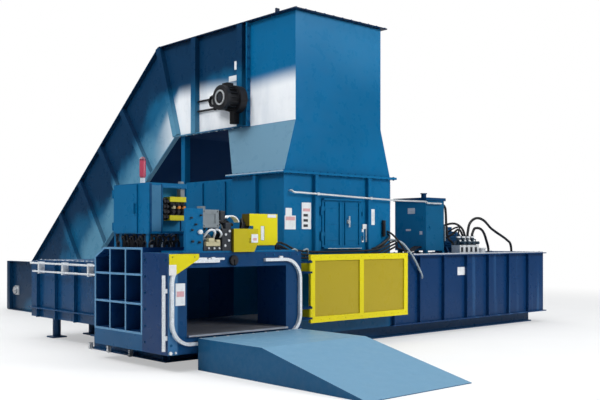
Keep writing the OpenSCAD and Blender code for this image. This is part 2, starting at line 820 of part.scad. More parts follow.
leg_ys = [knee_y - leg_in, knee_y + leg_pitch];
function frame_low_z(y) = y < knee_y ? chute_z : max(0, chute_z - (y - knee_y) * tan(slope));
apron_t = 12;
module conveyor_legs() {
    color(blue) place() {
        for (i = [0, 1]) {
            x = i == 0 ? chute_x + 20 : chute_x1 - 20 - apron_t;
            rib_x = i == 0 ? x - rib_t : x + apron_t;
            span([x, back_y, roof_z], [x + apron_t, leg_ys[0], charge_z - flange_t]);
            for (f = [0.3, 0.68])
                span([rib_x, back_y + f * (leg_ys[0] - back_y), roof_z],
                    [rib_x + rib_t, back_y + f * (leg_ys[0] - back_y) + apron_t,
                        charge_z - 3 * flange_t]);
        }
        for (y = leg_ys) {
            for (x = [chute_x, chute_x1 - leg_w]) {
                difference() {
                    span([x, y, 0], [x + leg_w, y + leg_w, chute_z]);
                    along_x(x - touch, leg_w + 2 * touch)
                        polygon([[seam_y, chute_z], knee_at(0), foot_at(0), [tail_y, 0],
                            [tail_y, hop_z], [seam_y, hop_z]]);
                }
                span([x - leg_w / 2, y - leg_w / 2, 0], [x + leg_w * 1.5, y + leg_w * 1.5, pad_t]);
            }
            brace_z = frame_low_z(y + leg_w) * 0.55;
            span([chute_x + leg_w, y + leg_w / 4, brace_z],
                [chute_x1 - leg_w, y + leg_w * 0.75, brace_z + leg_w]);
        }
    }
}

// The belt's path: straight and curved stretches, each [length, radius], radius 0 being straight
bend_cut = bend_r * tan(slope / 2);
bend_deg = PI / 180 * slope;
run_head = knee_at(line_h)[0] - head_y - bend_cut;
run_slope = norm(foot_at(line_h) - knee_at(line_h)) - 2 * bend_cut;
run_tail = tail_shaft_y - foot_at(line_h)[0] - bend_cut;
big_r = bend_r + wheel_r;
small_r = bend_r - wheel_r;
belt_path = [
    [run_head, 0], [big_r * bend_deg, -big_r], [run_slope, 0], [small_r * bend_deg, small_r],
    [run_tail, 0], [PI * wheel_r, -wheel_r], [run_tail, 0], [big_r * bend_deg, -big_r],
    [run_slope, 0], [small_r * bend_deg, small_r], [run_head, 0], [PI * wheel_r, -wheel_r]
];
belt_length = 2 * (run_head + run_slope + run_tail) + 4 * bend_r * bend_deg + 2 * PI * wheel_r;
slat_n = round(belt_length / slat_pitch);
slat_step = belt_length / slat_n;
chord_r = wheel_r * cos(90 * slat_step / (PI * wheel_r));

// The point and the heading at a distance u along the path
function walk(u, p, a, i = 0) =
    let (s = belt_path[i], l = min(u, s[0]), turn = s[1] == 0 ? 0 : l / s[1] * 180 / PI,
        q = s[1] == 0 ? p + l * [cos(a), sin(a)]
            : p + s[1] * ([-sin(a), cos(a)] + [sin(a + turn), -cos(a + turn)]))
    u <= s[0] || i == len(belt_path) - 1 ? [q, a + turn] : walk(u - s[0], q, a + turn, i + 1);
// A point on the belt, h above its inner face
function belt_point(u, h) =
    let (w = walk(u, [head_y, head_z + wheel_r], 0)) w[0] + h * [-sin(w[1]), cos(w[1])];

belt_x0 = chute_x + sheet_t + belt_gap;
belt_x1 = chute_x1 - sheet_t - belt_gap;
module slat_belt() {
    outer = [
        for (i = [0:slat_n - 1]) let (u = i * slat_step)
            each [belt_point(u, belt_t), belt_point(u + slat_step - cleat_t, belt_t),
                belt_point(u + slat_step - cleat_t, belt_t + cleat_h),
                belt_point(u + slat_step - 0.01, belt_t + cleat_h)]
    ];
    inner = [for (i = [0:slat_n - 1]) belt_point(i * slat_step, 0)];
    color(bare_steel) place() along_x(belt_x0, belt_x1 - belt_x0) difference() {
        polygon(outer);
        polygon(inner);
    }
}

sprocket_r = chord_r - gap;
root_r = sprocket_r - 35;
module sprocket(x) {
    step = 360 / wheel_teeth;
    teeth = [
        for (i = [0:wheel_teeth - 1])
            each [root_r * [cos(i * step), sin(i * step)],
                root_r * [cos((i + 0.3) * step), sin((i + 0.3) * step)],
                sprocket_r * [cos((i + 0.5) * step), sin((i + 0.5) * step)],
                sprocket_r * [cos((i + 0.8) * step), sin((i + 0.8) * step)]]
    ];
    translate([x, 0, 0]) rotate([0, 90, 0]) linear_extrude(wheel_t) difference() {
        polygon(teeth);
        for (i = [0:5])
            rotate(60 * i) translate([root_r * 0.62, 0]) circle(r = root_r * 0.2);
    }
}

// A shaft with a drum and two belt sprockets, from x0 to x1 about the line y, z
module belt_shaft(x0, x1, y, z) {
    translate([0, y, z]) {
        rod_x(x0, x1, 0, 0, shaft_r);
        difference() {
            rod_x(belt_x0 + 100, belt_x1 - 100, 0, 0, shaft_r + 25);
            rod_x(belt_x0 + 200, belt_x1 - 200, 0, 0, shaft_r + 40);
        }
        rod_x(belt_x0 + 200, belt_x1 - 200, 0, 0, shaft_r + 12);
        for (x = [belt_x0 + 90, (belt_x0 + belt_x1 - wheel_t) / 2, belt_x1 - 90 - wheel_t])
            sprocket(x);
    }
}

bearing_t = 70;
bearing_w = 190;
frame_out = chute_x - max(bearing_t, side_rib_d);
reducer_x1 = frame_out - gap;
reducer_t = 110;
module head_shaft() {
    color(bare_steel) place()
        belt_shaft(reducer_x1 - reducer_t + 20, chute_x1 + bearing_t + 15, head_y, head_z);
}

module tail_shaft() {
    color(bare_steel) place()
        belt_shaft(chute_x - bearing_t - 15, chute_x1 + bearing_t + 15, tail_shaft_y, tail_z);
}

// A pair of flanged bearings on the outer faces of the sides
module bearing_pair(y, z) {
    for (side = [-1, 1]) {
        x = side < 0 ? chute_x : chute_x1;
        difference() {
            union() {
                span([min(x, x + side * 22), y - bearing_w / 2, z - bearing_w / 2],
                    [max(x, x + side * 22), y + bearing_w / 2, z + bearing_w / 2]);
                rod_x(min(x, x + side * bearing_t), max(x, x + side * bearing_t), y, z, bearing_w * 0.4);
            }
            rod_x(x - 2 * bearing_t, x + 2 * bearing_t, y, z, shaft_r + run_gap);
        }
    }
}

module shaft_bearings() {
    color(silver) place() {
        bearing_pair(head_y, head_z);
        bearing_pair(tail_shaft_y, tail_z);
    }
}

rod_spread = 75;
module takeup_rods() {
    y0 = head_y + bearing_w / 2;
    y1 = head_rib_y[2] - side_rib_w / 2;
    color(black) place()
        for (x = [chute_x - 11 - 15, chute_x1 + 11 + 15], s = [-1, 1]) {
            rod_y(y0, y1, x, head_z + s * rod_spread, 15);
            rod_y(y0 + 40, y0 + 70, x, head_z + s * rod_spread, 26);
        }
}

motor_y = head_y - 500;
motor_z = head_z - 30;
gear_r = 85;
case_r = 195;
module drive_reducer() {
    x0 = reducer_x1 - reducer_t;
    r1 = case_r;
    color(black) place() difference() {
        union() {
            rod_x(x0, reducer_x1, head_y, head_z, gear_r);
            rod_x(x0, reducer_x1, motor_y, motor_z, r1);
            along_x(x0, reducer_t) polygon([[head_y, head_z - gear_r], [head_y, head_z + gear_r],
                [motor_y, motor_z + r1], [motor_y, motor_z - r1]]);
            span([x0 + 10, motor_y - 10, motor_z - r1 - 150], [reducer_x1 - 10, motor_y + 90, motor_z]);
            for (s = [0:5])
                rod_x(x0 - 12, x0, head_y + (gear_r - 9) * cos(60 * s),
                    head_z + (gear_r - 9) * sin(60 * s), 8);
        }
        rod_x(x0 - touch, reducer_x1 + touch, head_y, head_z, shaft_r + run_gap);
        rod_x(x0 - 2 * touch, x0 + 14, head_y, head_z, shaft_r + 18);
    }
}

motor_len = 230;
module drive_motor() {
    x1 = reducer_x1 - reducer_t;
    x0 = x1 - motor_len;
    fins = 16;
    fan_r = case_r * 0.9;
    color(black) place() difference() {
        union() {
            rod_x(x0 + 40, x1, motor_y, motor_z, case_r * 0.74);
            rod_x(x0, x0 + 60, motor_y, motor_z, fan_r);
            for (i = [0:fins - 1])
                translate([0, motor_y, motor_z]) rotate([360 * i / fins, 0, 0])
                    span([x0 + 50, 0, -5], [x1 - 20, fan_r, 5]);
            span([x0 + 80, motor_y - 60, motor_z + case_r * 0.6],
                [x1 - 40, motor_y + 60, motor_z + case_r * 1.1]);
        }
        for (i = [0:7])
            translate([0, motor_y, motor_z]) rotate([45 * i, 0, 0]) rod_x(x0 - touch, x0 + 12,
                fan_r * 0.6, 0, 16);
    }
}

// Main ram, its housing and its cylinder

ram_x0 = charge_x1 - plate_t + 5;
ram_stroke = ram_x0 - half;
ram_l = ram_stroke + ram_over;
ram_z0 = floor_z + shoe_gap;
ram_z1 = tunnel_z - ram_gap;
ram_y0 = in_y0 + ram_gap;
ram_y1 = in_y1 - ram_gap;
skirt_t = 30;

module main_ram() {
    x1 = ram_x0 + ram_l;
    web_l = 260;
    color(deep_blue) place() {
        span([ram_x0, ram_y0, ram_z0], [ram_x0 + face_t, ram_y1, ram_z1 - blade_h]);
        span([ram_x0 + blade_t, ram_y0, ram_z1 - blade_h], [ram_x0 + face_t, ram_y1, ram_z1]);
        span([ram_x0 + face_t, ram_y0, ram_z1 - skirt_t], [x1, ram_y1, ram_z1]);
        for (y = [ram_y0, ram_y1 - skirt_t])
            span([ram_x0 + face_t, y, ram_z0], [x1, y + skirt_t, ram_z1 - skirt_t]);
        for (y = [ram_y - bale_l / 4, ram_y + bale_l / 4])
            along_y(y - rib_t / 2, rib_t) polygon([[ram_x0 + face_t, ram_z0 + 60],
                [ram_x0 + face_t, ram_z1 - skirt_t], [ram_x0 + face_t + web_l, ram_z1 - skirt_t]]);
        for (y = [ram_y0 + skirt_t, ram_y1 - 2 * skirt_t - 60])
            span([ram_x0 + face_t, y, ram_z0], [x1, y + 60 + skirt_t, ram_z0 + skirt_t]);
    }
}

module ram_blade() {
    color(bare_steel) place() difference() {
        span([ram_x0, ram_y0, ram_z1 - blade_h], [ram_x0 + blade_t, ram_y1, ram_z1]);
        for (i = [0:5])
            rod_x(ram_x0 - touch, ram_x0 + 14, in_y0 + bale_l * (i + 0.5) / 6, ram_z1 - blade_h / 2, 14);
    }
}

tail_cap = 60;
piston_l = 120;
gland_l = 120;
piston_gap = 0.1;
barrel_x1 = housing_x1 - plate_t;
port_x = barrel_x1 - 2.5 * tail_cap;
piston_x1 = barrel_x1 - 2 * tail_cap;
barrel_x0 = piston_x1 - piston_l - ram_stroke - gland_l - tail_cap;

// A cylinder along +Z: a tube with its gland at z = 0 and its closed end at z = l
module cylinder_tube(l, bore, rod) {
    outer = bore + tube_t;
    difference() {
        union() {
            cylinder(h = l, r = outer);
            cylinder(h = gland_l, r = outer + 22);
            translate([0, 0, l - tail_cap]) cylinder(h = tail_cap, r = outer + 22);
            for (z = [gland_l + 40, l - 2.5 * tail_cap]) translate([0, 0, z]) rotate([0, 90, 90])
                cylinder(h = outer + 40, r = 32);
        }
        translate([0, 0, -touch]) cylinder(h = gland_l + 2 * touch, r = rod + run_gap);
        translate([0, 0, gland_l]) cylinder(h = l - gland_l - tail_cap, r = bore);
        for (i = [0:7])
            rotate(45 * i + 22.5) translate([outer + 4, 0, -touch]) cylinder(h = 14, r = 9);
    }
}

module main_cylinder() {
    outer = bore_r + tube_t;
    saddle_x = barrel_x0 + gland_l + 300;
    color(deep_blue) place() {
        translate([barrel_x0, ram_y, rod_z]) rotate([0, 90, 0])
            rotate(90) cylinder_tube(barrel_x1 - barrel_x0, bore_r, rod_r);
        rod_x(barrel_x0 + gland_l + 40, port_x - 80, ram_y, rod_z + outer + 24, pipe_r);
        difference() {
            along_x(saddle_x, 80) polygon([[ram_y - outer - 60, floor_z], [ram_y + outer + 60, floor_z],
                [ram_y + outer, rod_z], [ram_y - outer, rod_z]]);
            rod_x(saddle_x - touch, saddle_x + 80 + touch, ram_y, rod_z, outer);
        }
    }
}

module main_rod() {
    x0 = ram_x0 + face_t;
    color(chrome) place() {
        rod_x(x0, x0 + 45, ram_y, rod_z, rod_r + 80);
        rod_x(x0, piston_x1 - 10, ram_y, rod_z, rod_r);
        rod_x(piston_x1 - piston_l, piston_x1, ram_y, rod_z, bore_r - piston_gap);
    }
}

module ram_housing() {
    x0 = charge_x1;
    n = floor((housing_l - charge_rib_w) / upright_pitch);
    color(blue) place() difference() {
        union() {
            ribbed_floor(x0, housing_x1, 8);
            span([x0, front_y, base_top], [housing_x1, back_y, housing_z1]);
            for (y = [front_y - flange_w, back_y], z = [foot_h, housing_z1 - flange_t])
                span([x0, y, z], [housing_x1, y + flange_w, z + flange_t]);
            for (i = [0:n]) {
                x = x0 + 40 + i * upright_pitch;
                span([x, front_y - charge_rib_d, foot_h], [x + rib_t, front_y, housing_z1]);
                span([x, back_y, foot_h], [x + rib_t, back_y + charge_rib_d, housing_z1]);
            }
        }
        span([x0 - touch, in_y0, base_top], [housing_x1 - plate_t, in_y1, housing_z1 + touch]);
        rod_x(housing_x1 - plate_t - touch, housing_x1 + touch, ram_y, rod_z, bore_r * 0.6);
        for (i = [0:7])
            translate([0, ram_y, rod_z]) rotate([45 * i + 22.5, 0, 0])
                rod_x(housing_x1 - plate_t - touch, housing_x1 + touch, bore_r + 15, 0, 16);
    }
}

cover_t = 14;
module housing_cover() {
    plates = 3;
    x1 = housing_x1;
    step = (x1 - charge_x1) / plates;
    color(blue) place() for (i = [0:plates - 1]) {
        x = charge_x1 + i * step;
        difference() {
            span([x, front_y, housing_z1], [x + step - 6, back_y, unit_z]);
            rod_z_at(housing_z1 - touch, unit_z + touch, port_x, ram_y, hose_r + 12);
        }
    }
}

// Ejector

platen_y = in_y1 + 2;
eject_stroke = in_y1;
pocket_d = 340;
eject_y1 = back_y + eject_l;
eject_barrel_y1 = eject_y1 - plate_t;
eject_piston_y1 = eject_barrel_y1 - 2 * tail_cap;
eject_barrel_y0 = eject_piston_y1 - piston_l - eject_stroke - gland_l - tail_cap;

module ejector_platen() {
    x0 = -half + ram_gap;
    x1 = half - ram_gap;
    web = 25;
    bay = (x1 - x0 - web) / 4;
    z_bay = (ram_z1 - ram_z0 - web) / 2;
    color(deep_blue) place() difference() {
        span([x0, platen_y, ram_z0], [x1, platen_y + platen_d, ram_z1]);
        for (i = [0:3], j = [0, 1])
            if (i == 0 || i == 3)
                span([x0 + web + i * bay, platen_y + face_t, ram_z0 + web + j * z_bay],
                    [x0 + (i + 1) * bay, platen_y + platen_d + touch, ram_z0 + (j + 1) * z_bay]);
    }
}

module ejector_rod() {
    y0 = platen_y + platen_d;
    color(chrome) place() {
        rod_y(y0, y0 + 40, 0, rod_z, eject_rod_r + 60);
        rod_y(y0, eject_piston_y1 - 10, 0, rod_z, eject_rod_r);
        rod_y(eject_piston_y1 - piston_l, eject_piston_y1, 0, rod_z, eject_bore_r - piston_gap);
    }
}

module ejector_cylinder() {
    outer = eject_bore_r + tube_t;
    saddle_y = eject_barrel_y0 + gland_l + 350;
    color(deep_blue) place() {
        translate([0, eject_barrel_y0, rod_z]) rotate([-90, 0, 0]) rotate(180)
            cylinder_tube(eject_barrel_y1 - eject_barrel_y0, eject_bore_r, eject_rod_r);
        difference() {
            along_y(saddle_y, 80) polygon([[-outer - 60, base_top], [outer + 60, base_top],
                [outer, rod_z], [-outer, rod_z]]);
            rod_y(saddle_y - touch, saddle_y + 80 + touch, 0, rod_z, outer);
        }
    }
}

module ejector_housing() {
    y_neck = back_y + pocket_d;
    w = eject_w / 2;
    z1 = tunnel_z;
    cover_pitch = 700;
    cover_l = 640;
    color(blue) place() {
        difference() {
            union() {
                span([-half - plate_t, back_y, eject_z], [half + plate_t, y_neck, z1 + plate_t]);
                span([-w, y_neck, eject_z], [w, eject_y1, z1]);
                span([-w - flange_w, y_neck, eject_z + 130],
                    [w + flange_w, eject_y1, eject_z + 130 + flange_t]);
                for (i = [0:3]) {
                    y = y_neck + (i + 0.5) * (eject_y1 - y_neck) / 4;
                    span([-w - charge_rib_d, y, eject_z], [w + charge_rib_d, y + rib_t, z1]);
                }
            }
            span([-half, back_y - touch, base_top], [half, y_neck - plate_t, z1]);
            span([-w + plate_t, y_neck - plate_t - touch, base_top],
                [w - plate_t, eject_y1 - plate_t, z1 + touch]);
            rod_y(eject_y1 - plate_t - touch, eject_y1 + touch, 0, rod_z, eject_bore_r * 0.6);
        }
        for (i = [0:2])
            span([-w, y_neck + 60 + i * cover_pitch, z1], [w, y_neck + 60 + i * cover_pitch + cover_l, z1 + cover_t]);
    }
}

// Rigid pipes that run along the ejector's left side and loop to the front of its cylinder
pipe_x = -eject_w / 2 - charge_rib_d - pipe_r - gap;
module ejector_pipes() {
    y_far = eject_y1 - 120;
    y_near = back_y + pocket_d + 90;
    clamp_in = 300;
    clamp_pitch = 740;
    clamp_w = 40;
    wall_x = -eject_w / 2;
    high_z = eject_z + 800;
    low_z = eject_z + 680;
    port_z = eject_z + 530;
    port_rise = 85;
    color(silver) place() {
        swept_tube([[wall_x, y_far + 40, high_z], [wall_x - 20, y_far + 40, high_z],
            [wall_x - 45, y_far + 40, high_z], [pipe_x, y_far, high_z], [pipe_x, y_far - 60, high_z],
            [pipe_x, y_near + 120, high_z], [pipe_x, y_near + 60, high_z],
            [pipe_x, y_near + 15, high_z - 35], [pipe_x, y_near, low_z], [pipe_x, y_near + 15, port_z + 60],
            [wall_x - 45, y_near + 60, port_z], [wall_x - 20, y_near + 60, port_z],
            [wall_x, y_near + 60, port_z]], pipe_r, 3);
        swept_tube([[wall_x, y_far - 40, low_z], [wall_x - 20, y_far - 40, low_z],
            [wall_x - 45, y_far - 40, low_z], [pipe_x, y_far - 80, low_z], [pipe_x, y_far - 140, low_z],
            [pipe_x, y_near + 220, low_z], [pipe_x, y_near + 160, low_z],
            [wall_x - 45, y_near + 100, port_z + port_rise], [wall_x - 20, y_near + 100, port_z + port_rise],
            [wall_x, y_near + 100, port_z + port_rise]], pipe_r, 3);
    }
    color(deep_blue) place()
        for (y = [y_near + clamp_in:clamp_pitch:y_far - clamp_in])
            span([pipe_x - pipe_r - 8, y, low_z - 30], [wall_x, y + clamp_w, high_z + 25]);
}

// Tier

tier_side = -end_x;
module tier_frame() {
    lining = tier_t;
    z0 = foot_h;
    color(blue) place() difference() {
        span([-tier_side, plate_y, z0], [tier_side, front_y, tier_top]);
        span([-half, plate_y - touch, base_top], [half, front_y + touch, tunnel_z]);
        difference() {
            span([-tier_side + tier_t / 2, plate_y + tier_t, z0 - touch],
                [tier_side - tier_t / 2, front_y - tier_t, tier_top - tier_t]);
            span([-half - lining, plate_y, base_top - lining],
                [half + lining, front_y, tunnel_z + lining]);
            rod_y(plate_y, plate_y + 90, twist_x, twist_z, spindle_r + 28);
        }
        rod_y(plate_y - touch, plate_y + 80, twist_x, twist_z, spindle_r + run_gap);
    }
}

module track_corner(x, z, turn) {
    translate([x, track_d, z]) rotate([90, 0, 0]) rotate(turn) rotate_extrude(angle = 90)
        translate([track_r - track_t, 0]) square([track_t, track_d]);
}

module wire_track() {
    x1 = track_x - track_r;
    lug = 24;
    color(silver) place() {
        for (s = [0, 1]) {
            track_corner(s == 0 ? x1 : -x1, track_z1 - track_r, s == 0 ? 0 : 90);
            track_corner(s == 0 ? -x1 : x1, track_z0 + track_r, s == 0 ? 180 : 270);
        }
        for (x = [-track_x, track_x - track_t])
            span([x, 0, track_z0 + track_r], [x + track_t, track_d, track_z1 - track_r]);
        span([-x1, 0, track_z0], [x1, track_d, track_z0 + track_t]);
        span([-x1, 0, track_z1 - track_t], [gap_x0, track_d, track_z1]);
        span([gap_x1, 0, track_z1 - track_t], [x1, track_d, track_z1]);
        for (x = [-x1 + 80, gap_x0 - 80, x1 - 60])
            span([x - lug, lug / 2, track_z1], [x + lug, track_d, track_z1 + lug]);
    }
}

module guide_tube() {
    x = -tier_side - guide_off;
    y = plate_y + 15;
    z0 = foot_h + 50;
    z1 = track_z1 - 170;
    color(silver) place() difference() {
        union() {
            rod_z_at(z0, z1, x, y, guide_r);
            for (z = [z0 + 120, z1 - 200])
                span([x, y - 8, z], [-tier_side, y + 8, z + 50]);
        }
        rod_z_at(z0 - touch, z1 + touch, x, y, guide_r - 7);
    }
}

// A bent cover over the track's upper left corner
module corner_guard() {
    x0 = -tier_side - 10;
    z1 = tier_top - 10;
    guard_d = 8;
    color(yellow) place() difference() {
        along_y(-guard_d, guard_d) polygon([[x0, z1], [x0 + 400, z1], [x0 + 400, z1 - 60],
            [x0 + 80, z1 - 235], [x0, z1 - 235]]);
        for (x = [x0 + 40, x0 + 340])
            rod_y(-guard_d - touch, touch, x, z1 - 35, 8);
    }
}

// Tier head on the tier's top

bed_t = 20;
bed_x0 = -780;
bed_x1 = 900;
bed_z = tier_top + bed_t;
feed_x = -430;
feed_y = plate_y + 95;
feed_z = bed_z + 110;
pinch_x = feed_x + 2 * feed_r + wire_gap;
bracket_y = feed_y + feed_t / 2 + 6;
bracket_t = 24;
twist_x = (gap_x0 + gap_x1) / 2 - 130;
twist_z = track_z1 - track_t / 2;

right_x = 330;
right_w = 454;
right_y = plate_y + 210;
right_lift = 60;
module tier_bed() {
    panel_x0 = -735;
    panel_w = body_x0 - panel_x0;
    color(blue) place() difference() {
        union() {
            span([bed_x0, plate_y + 10, tier_top], [bed_x1, front_y - 60, bed_z]);
            span([panel_x0, plate_y + 30, bed_z], [panel_x0 + panel_w, plate_y + 42, bed_z + 490]);
            for (x = [panel_x0, panel_x0 + panel_w - 12])
                span([x, plate_y + 42, bed_z], [x + 12, plate_y + 70, bed_z + 490]);
            along_x(panel_x0 + panel_w / 2,
                12) polygon([[plate_y + 42, bed_z], [plate_y + 260, bed_z], [plate_y + 42, bed_z + 420]]);
            span([feed_x - 140, bracket_y, bed_z], [pinch_x + 130, bracket_y + bracket_t, feed_z + 130]);
            span([right_x + 30, right_y + 20, bed_z],
                [right_x + right_w - 30, right_y + 130, bed_z + right_lift]);
        }
        for (x = [feed_x, pinch_x])
            rod_y(bracket_y - touch, bracket_y + bracket_t + touch, x, feed_z, spindle_r + run_gap);
    }
}

// A grooved wheel with lightening holes on a spindle
module wire_wheel(x) {
    translate([x, feed_y, feed_z]) rotate([-90, 0, 0]) {
        difference() {
            rotate_extrude() polygon([[0, -feed_t / 2], [feed_r, -feed_t / 2], [feed_r, -4],
                [feed_r - 4, 0],
                [feed_r, 4], [feed_r, feed_t / 2], [0, feed_t / 2]]);
            translate([0, 0, -feed_t / 2 - touch]) difference() {
                cylinder(h = 10, r = feed_r - 18);
                cylinder(h = 10, r = spindle_r + 14);
            }
            for (i = [0:4])
                rotate(72 * i) translate([feed_r * 0.56, 0, -feed_t]) cylinder(h = 2 * feed_t,
                    r = feed_r * 0.14);
        }
        cylinder(h = bracket_y - feed_y + bracket_t, r = spindle_r);
    }
}

module feed_wheel() {
    color(white) place() wire_wheel(feed_x);
}

module pinch_wheel() {
    color(silver) place() wire_wheel(pinch_x);
}

module feed_motors() {
    y0 = bracket_y + bracket_t + gap;
    color(black) place() for (x = [feed_x, pinch_x]) {
        rod_y(y0, y0 + 130, x, feed_z, 62);
        span([x - 70, y0, feed_z - 70], [x + 70, y0 + 22, feed_z + 70]);
        span([x - 45, y0 + 40, bed_z], [x + 45, y0 + 110, feed_z]);
        for (s = [-1, 1])
            rod_z_at(feed_z, feed_z + 95, x + s * 26, y0 + 75, 16);
    }
}

body_x0 = feed_x - 70;
body_w = 235;
body_z0 = feed_z + 160;
body_h = 210;
module twister_body() {
    y0 = plate_y + 40;
    d = 250;
    color(silver) place() difference() {
        union() {
            span([body_x0, y0, body_z0], [body_x0 + body_w, y0 + d, body_z0 + body_h]);
            for (i = [0:5])
                span([body_x0 + body_w, y0 + 10, body_z0 + 14 + i * 32],
                    [body_x0 + body_w + 26, y0 + d - 10, body_z0 + 26 + i * 32]);
            rod_z_at(body_z0 + body_h, body_z0 + body_h + 40, body_x0 + 70, y0 + d / 2, 48);
            span([body_x0 + 20, y0 + d - 14, bed_z], [body_x0 + body_w - 20, y0 + d, body_z0]);
        }
        for (x = [body_x0 + 22, body_x0 + body_w - 22], z = [body_z0 + 22, body_z0 + body_h - 22])
            rod_y(y0 - touch, y0 + 12, x, z, 9);
        span([body_x0 + 50, y0 - touch, body_z0 + 50],
            [body_x0 + body_w - 50, y0 + 10, body_z0 + body_h - 50]);
    }
}

// The slotted pinion that twists the wire ends, with its spindle back to the drive
module twister_pinion() {
    step = 360 / twist_teeth;
    root = twist_r - 12;
    teeth = [
        for (i = [0:twist_teeth - 1])
            each [root * [cos(i * step), sin(i * step)],
                root * [cos((i + 0.25) * step), sin((i + 0.25) * step)],
                twist_r * [cos((i + 0.42) * step), sin((i + 0.42) * step)],
                twist_r * [cos((i + 0.83) * step), sin((i + 0.83) * step)]]
    ];
    color(silver) place() translate([twist_x, 3, twist_z]) rotate([-90, 0, 0]) {
        linear_extrude(30) difference() {
            polygon(teeth);
            translate([-5, 0]) square([10, twist_r + touch]);
            circle(r = 9);
        }
        translate([0, 0, 30]) cylinder(h = 5, r = root - 8);
        translate([0, 0, 35]) cylinder(h = 75, r = spindle_r);
    }
}

// A curved white hood that leads the wire over to the wheels
module wire_hood() {
    r = 120;
    hood_t = 14;
    x = pinch_x + 120;
    color(white) place() {
        translate([x + 60, plate_y + 150, bed_z + 300]) rotate([90, 0,
            0]) rotate(20) rotate_extrude(angle = 112)
            translate([r - hood_t, 0]) square([hood_t, 90]);
        span([x - 20, plate_y + 150, bed_z], [x + 10, plate_y + 175, bed_z + 300 + r * 0.75]);
    }
}

// A folded cover with a bevelled lower corner: x0, z0 to x1, z1, y0 to y1
module bent_cover(x0, z0, x1, z1, y0, y1, cut_x, cut_z) {
    wall = 4;
    difference() {
        along_y(y0, y1 - y0) polygon([[x0, z0], [x1 - cut_x, z0], [x1, z0 + cut_z], [x1, z1], [x0, z1]]);
        along_y(y0 + wall, y1 - y0) polygon([[x0 + wall, z0 + wall], [x1 - cut_x - wall / 2, z0 + wall],
            [x1 - wall, z0 + cut_z + wall / 2], [x1 - wall, z1 - wall], [x0 + wall, z1 - wall]]);
    }
}

cover_x = -100;
cover_w = 370;
module tier_cover_left() {
    y0 = plate_y - 32;
    color(yellow) place() difference() {
        bent_cover(cover_x, tier_top + 4, cover_x + cover_w, bed_z + 260, y0, plate_y + 200, 60, 110);
        span([cover_x - touch, plate_y + 9, tier_top], [cover_x + cover_w, plate_y + 201, bed_z]);
        for (i = [0:3])
            span([cover_x + 230, y0 - touch, bed_z + 90 + i * 16],
                [cover_x + 300, y0 + 5, bed_z + 96 + i * 16]);
    }
}

module tier_cover_right() {
    y0 = right_y;
    color(yellow) place() difference() {
        bent_cover(right_x, bed_z + right_lift, right_x + right_w, bed_z + 450, y0, y0 + 150, 40, 40);
        span([right_x + 180, y0 - touch, bed_z + 120], [right_x + 240, y0 + 5, bed_z + 300]);
        span([right_x - touch, y0 - touch, bed_z + 210], [right_x + 60, y0 + 151, bed_z + 300]);
    }
}

// Guard door beside the exit, swung open

hinge_x = tier_side + hinge_out;
hinge_y = 100;
guard_z0 = deck_z + guard_lift;
guard_x0 = hinge_x + 160;
guard_y1 = hinge_y + 200;
guard_y0 = guard_y1 - guard_t;
barrel_r = guard_pin_r + 15;
barrel_h = 110;
barrel_zs = [guard_z0 + 100, guard_z0 + guard_h - 100 - barrel_h];

module guard_door() {
    sheet_y = guard_y0 + guard_t / 2;
    z1 = guard_z0 + guard_h;
    f = guard_frame;
    stile_x = guard_x0 + guard_l / 2 - f / 2;
    color(yellow) place() difference() {
        union() {
            difference() {
                span([guard_x0, guard_y0, guard_z0], [guard_x0 + guard_l, guard_y1, z1]);
                span([guard_x0 + f, guard_y0 - touch, guard_z0 + f],
                    [guard_x0 + guard_l - f, guard_y1 + touch, z1 - f]);
            }
            span([guard_x0 + f - touch, sheet_y, guard_z0 + f - touch],
                [guard_x0 + guard_l - f + touch, sheet_y + 5, z1 - f + touch]);
            span([stile_x, guard_y0, guard_z0 + f], [stile_x + f, sheet_y, z1 - f]);
            for (z = barrel_zs) {
                span([hinge_x, guard_y0, z], [guard_x0, guard_y1, z + barrel_h]);
                span([hinge_x - barrel_r, hinge_y, z], [hinge_x + barrel_r, guard_y1, z + barrel_h]);
                rod_z_at(z, z + barrel_h, hinge_x, hinge_y, barrel_r);
            }
        }
        for (z = barrel_zs)
            rod_z_at(z - touch, z + barrel_h + touch, hinge_x, hinge_y, guard_pin_r + run_gap);
    }
}

module guard_hinges() {
    ear_t = 25;
    color(deep_blue) place() for (z = barrel_zs) {
        for (ez = [z - gap - ear_t, z + barrel_h + gap]) {
            span([tier_side, hinge_y - barrel_r, ez], [hinge_x, hinge_y + barrel_r, ez + ear_t]);
            rod_z_at(ez, ez + ear_t, hinge_x, hinge_y, barrel_r);
        }
        rod_z_at(z - gap - ear_t, z + barrel_h + gap + ear_t + 12, hinge_x, hinge_y, guard_pin_r);
        span([tier_side, hinge_y - barrel_r, z - gap - ear_t],
            [tier_side + ear_t, hinge_y + barrel_r, z + barrel_h + gap + ear_t]);
    }
}

// Ramp

module ramp() {
    x0 = ramp_off - ramp_w / 2;
    toe = 8;
    fall = (deck_z - toe) / slope_l;
    under = deck_t * sqrt(1 + fall * fall);
    inner_end = -deck_l - (deck_z - under) / fall;
    color(blue) place() difference() {
        along_x(x0, ramp_w) polygon([[0, 0], [0, deck_z], [-deck_l, deck_z], [-deck_l - slope_l, toe],
            [-deck_l - slope_l, 0]]);
        for (i = [0:2])
            along_x(x0 + deck_t + i * (ramp_w - deck_t) / 3, (ramp_w - deck_t) / 3 - deck_t)
                polygon([[-deck_t, -touch], [-deck_t, deck_z - deck_t],
                    [-deck_l - deck_t * fall / 2, deck_z - deck_t], [inner_end + touch / fall, -touch]]);
    }
}

// Power unit on the main ram's housing

tank_x0 = charge_x1 + tank_x;
tank_y0 = front_y + 330;
unit_z = housing_z1 + cover_t;
tank_z0 = unit_z + 40;
tank_z1 = tank_z0 + tank_h;

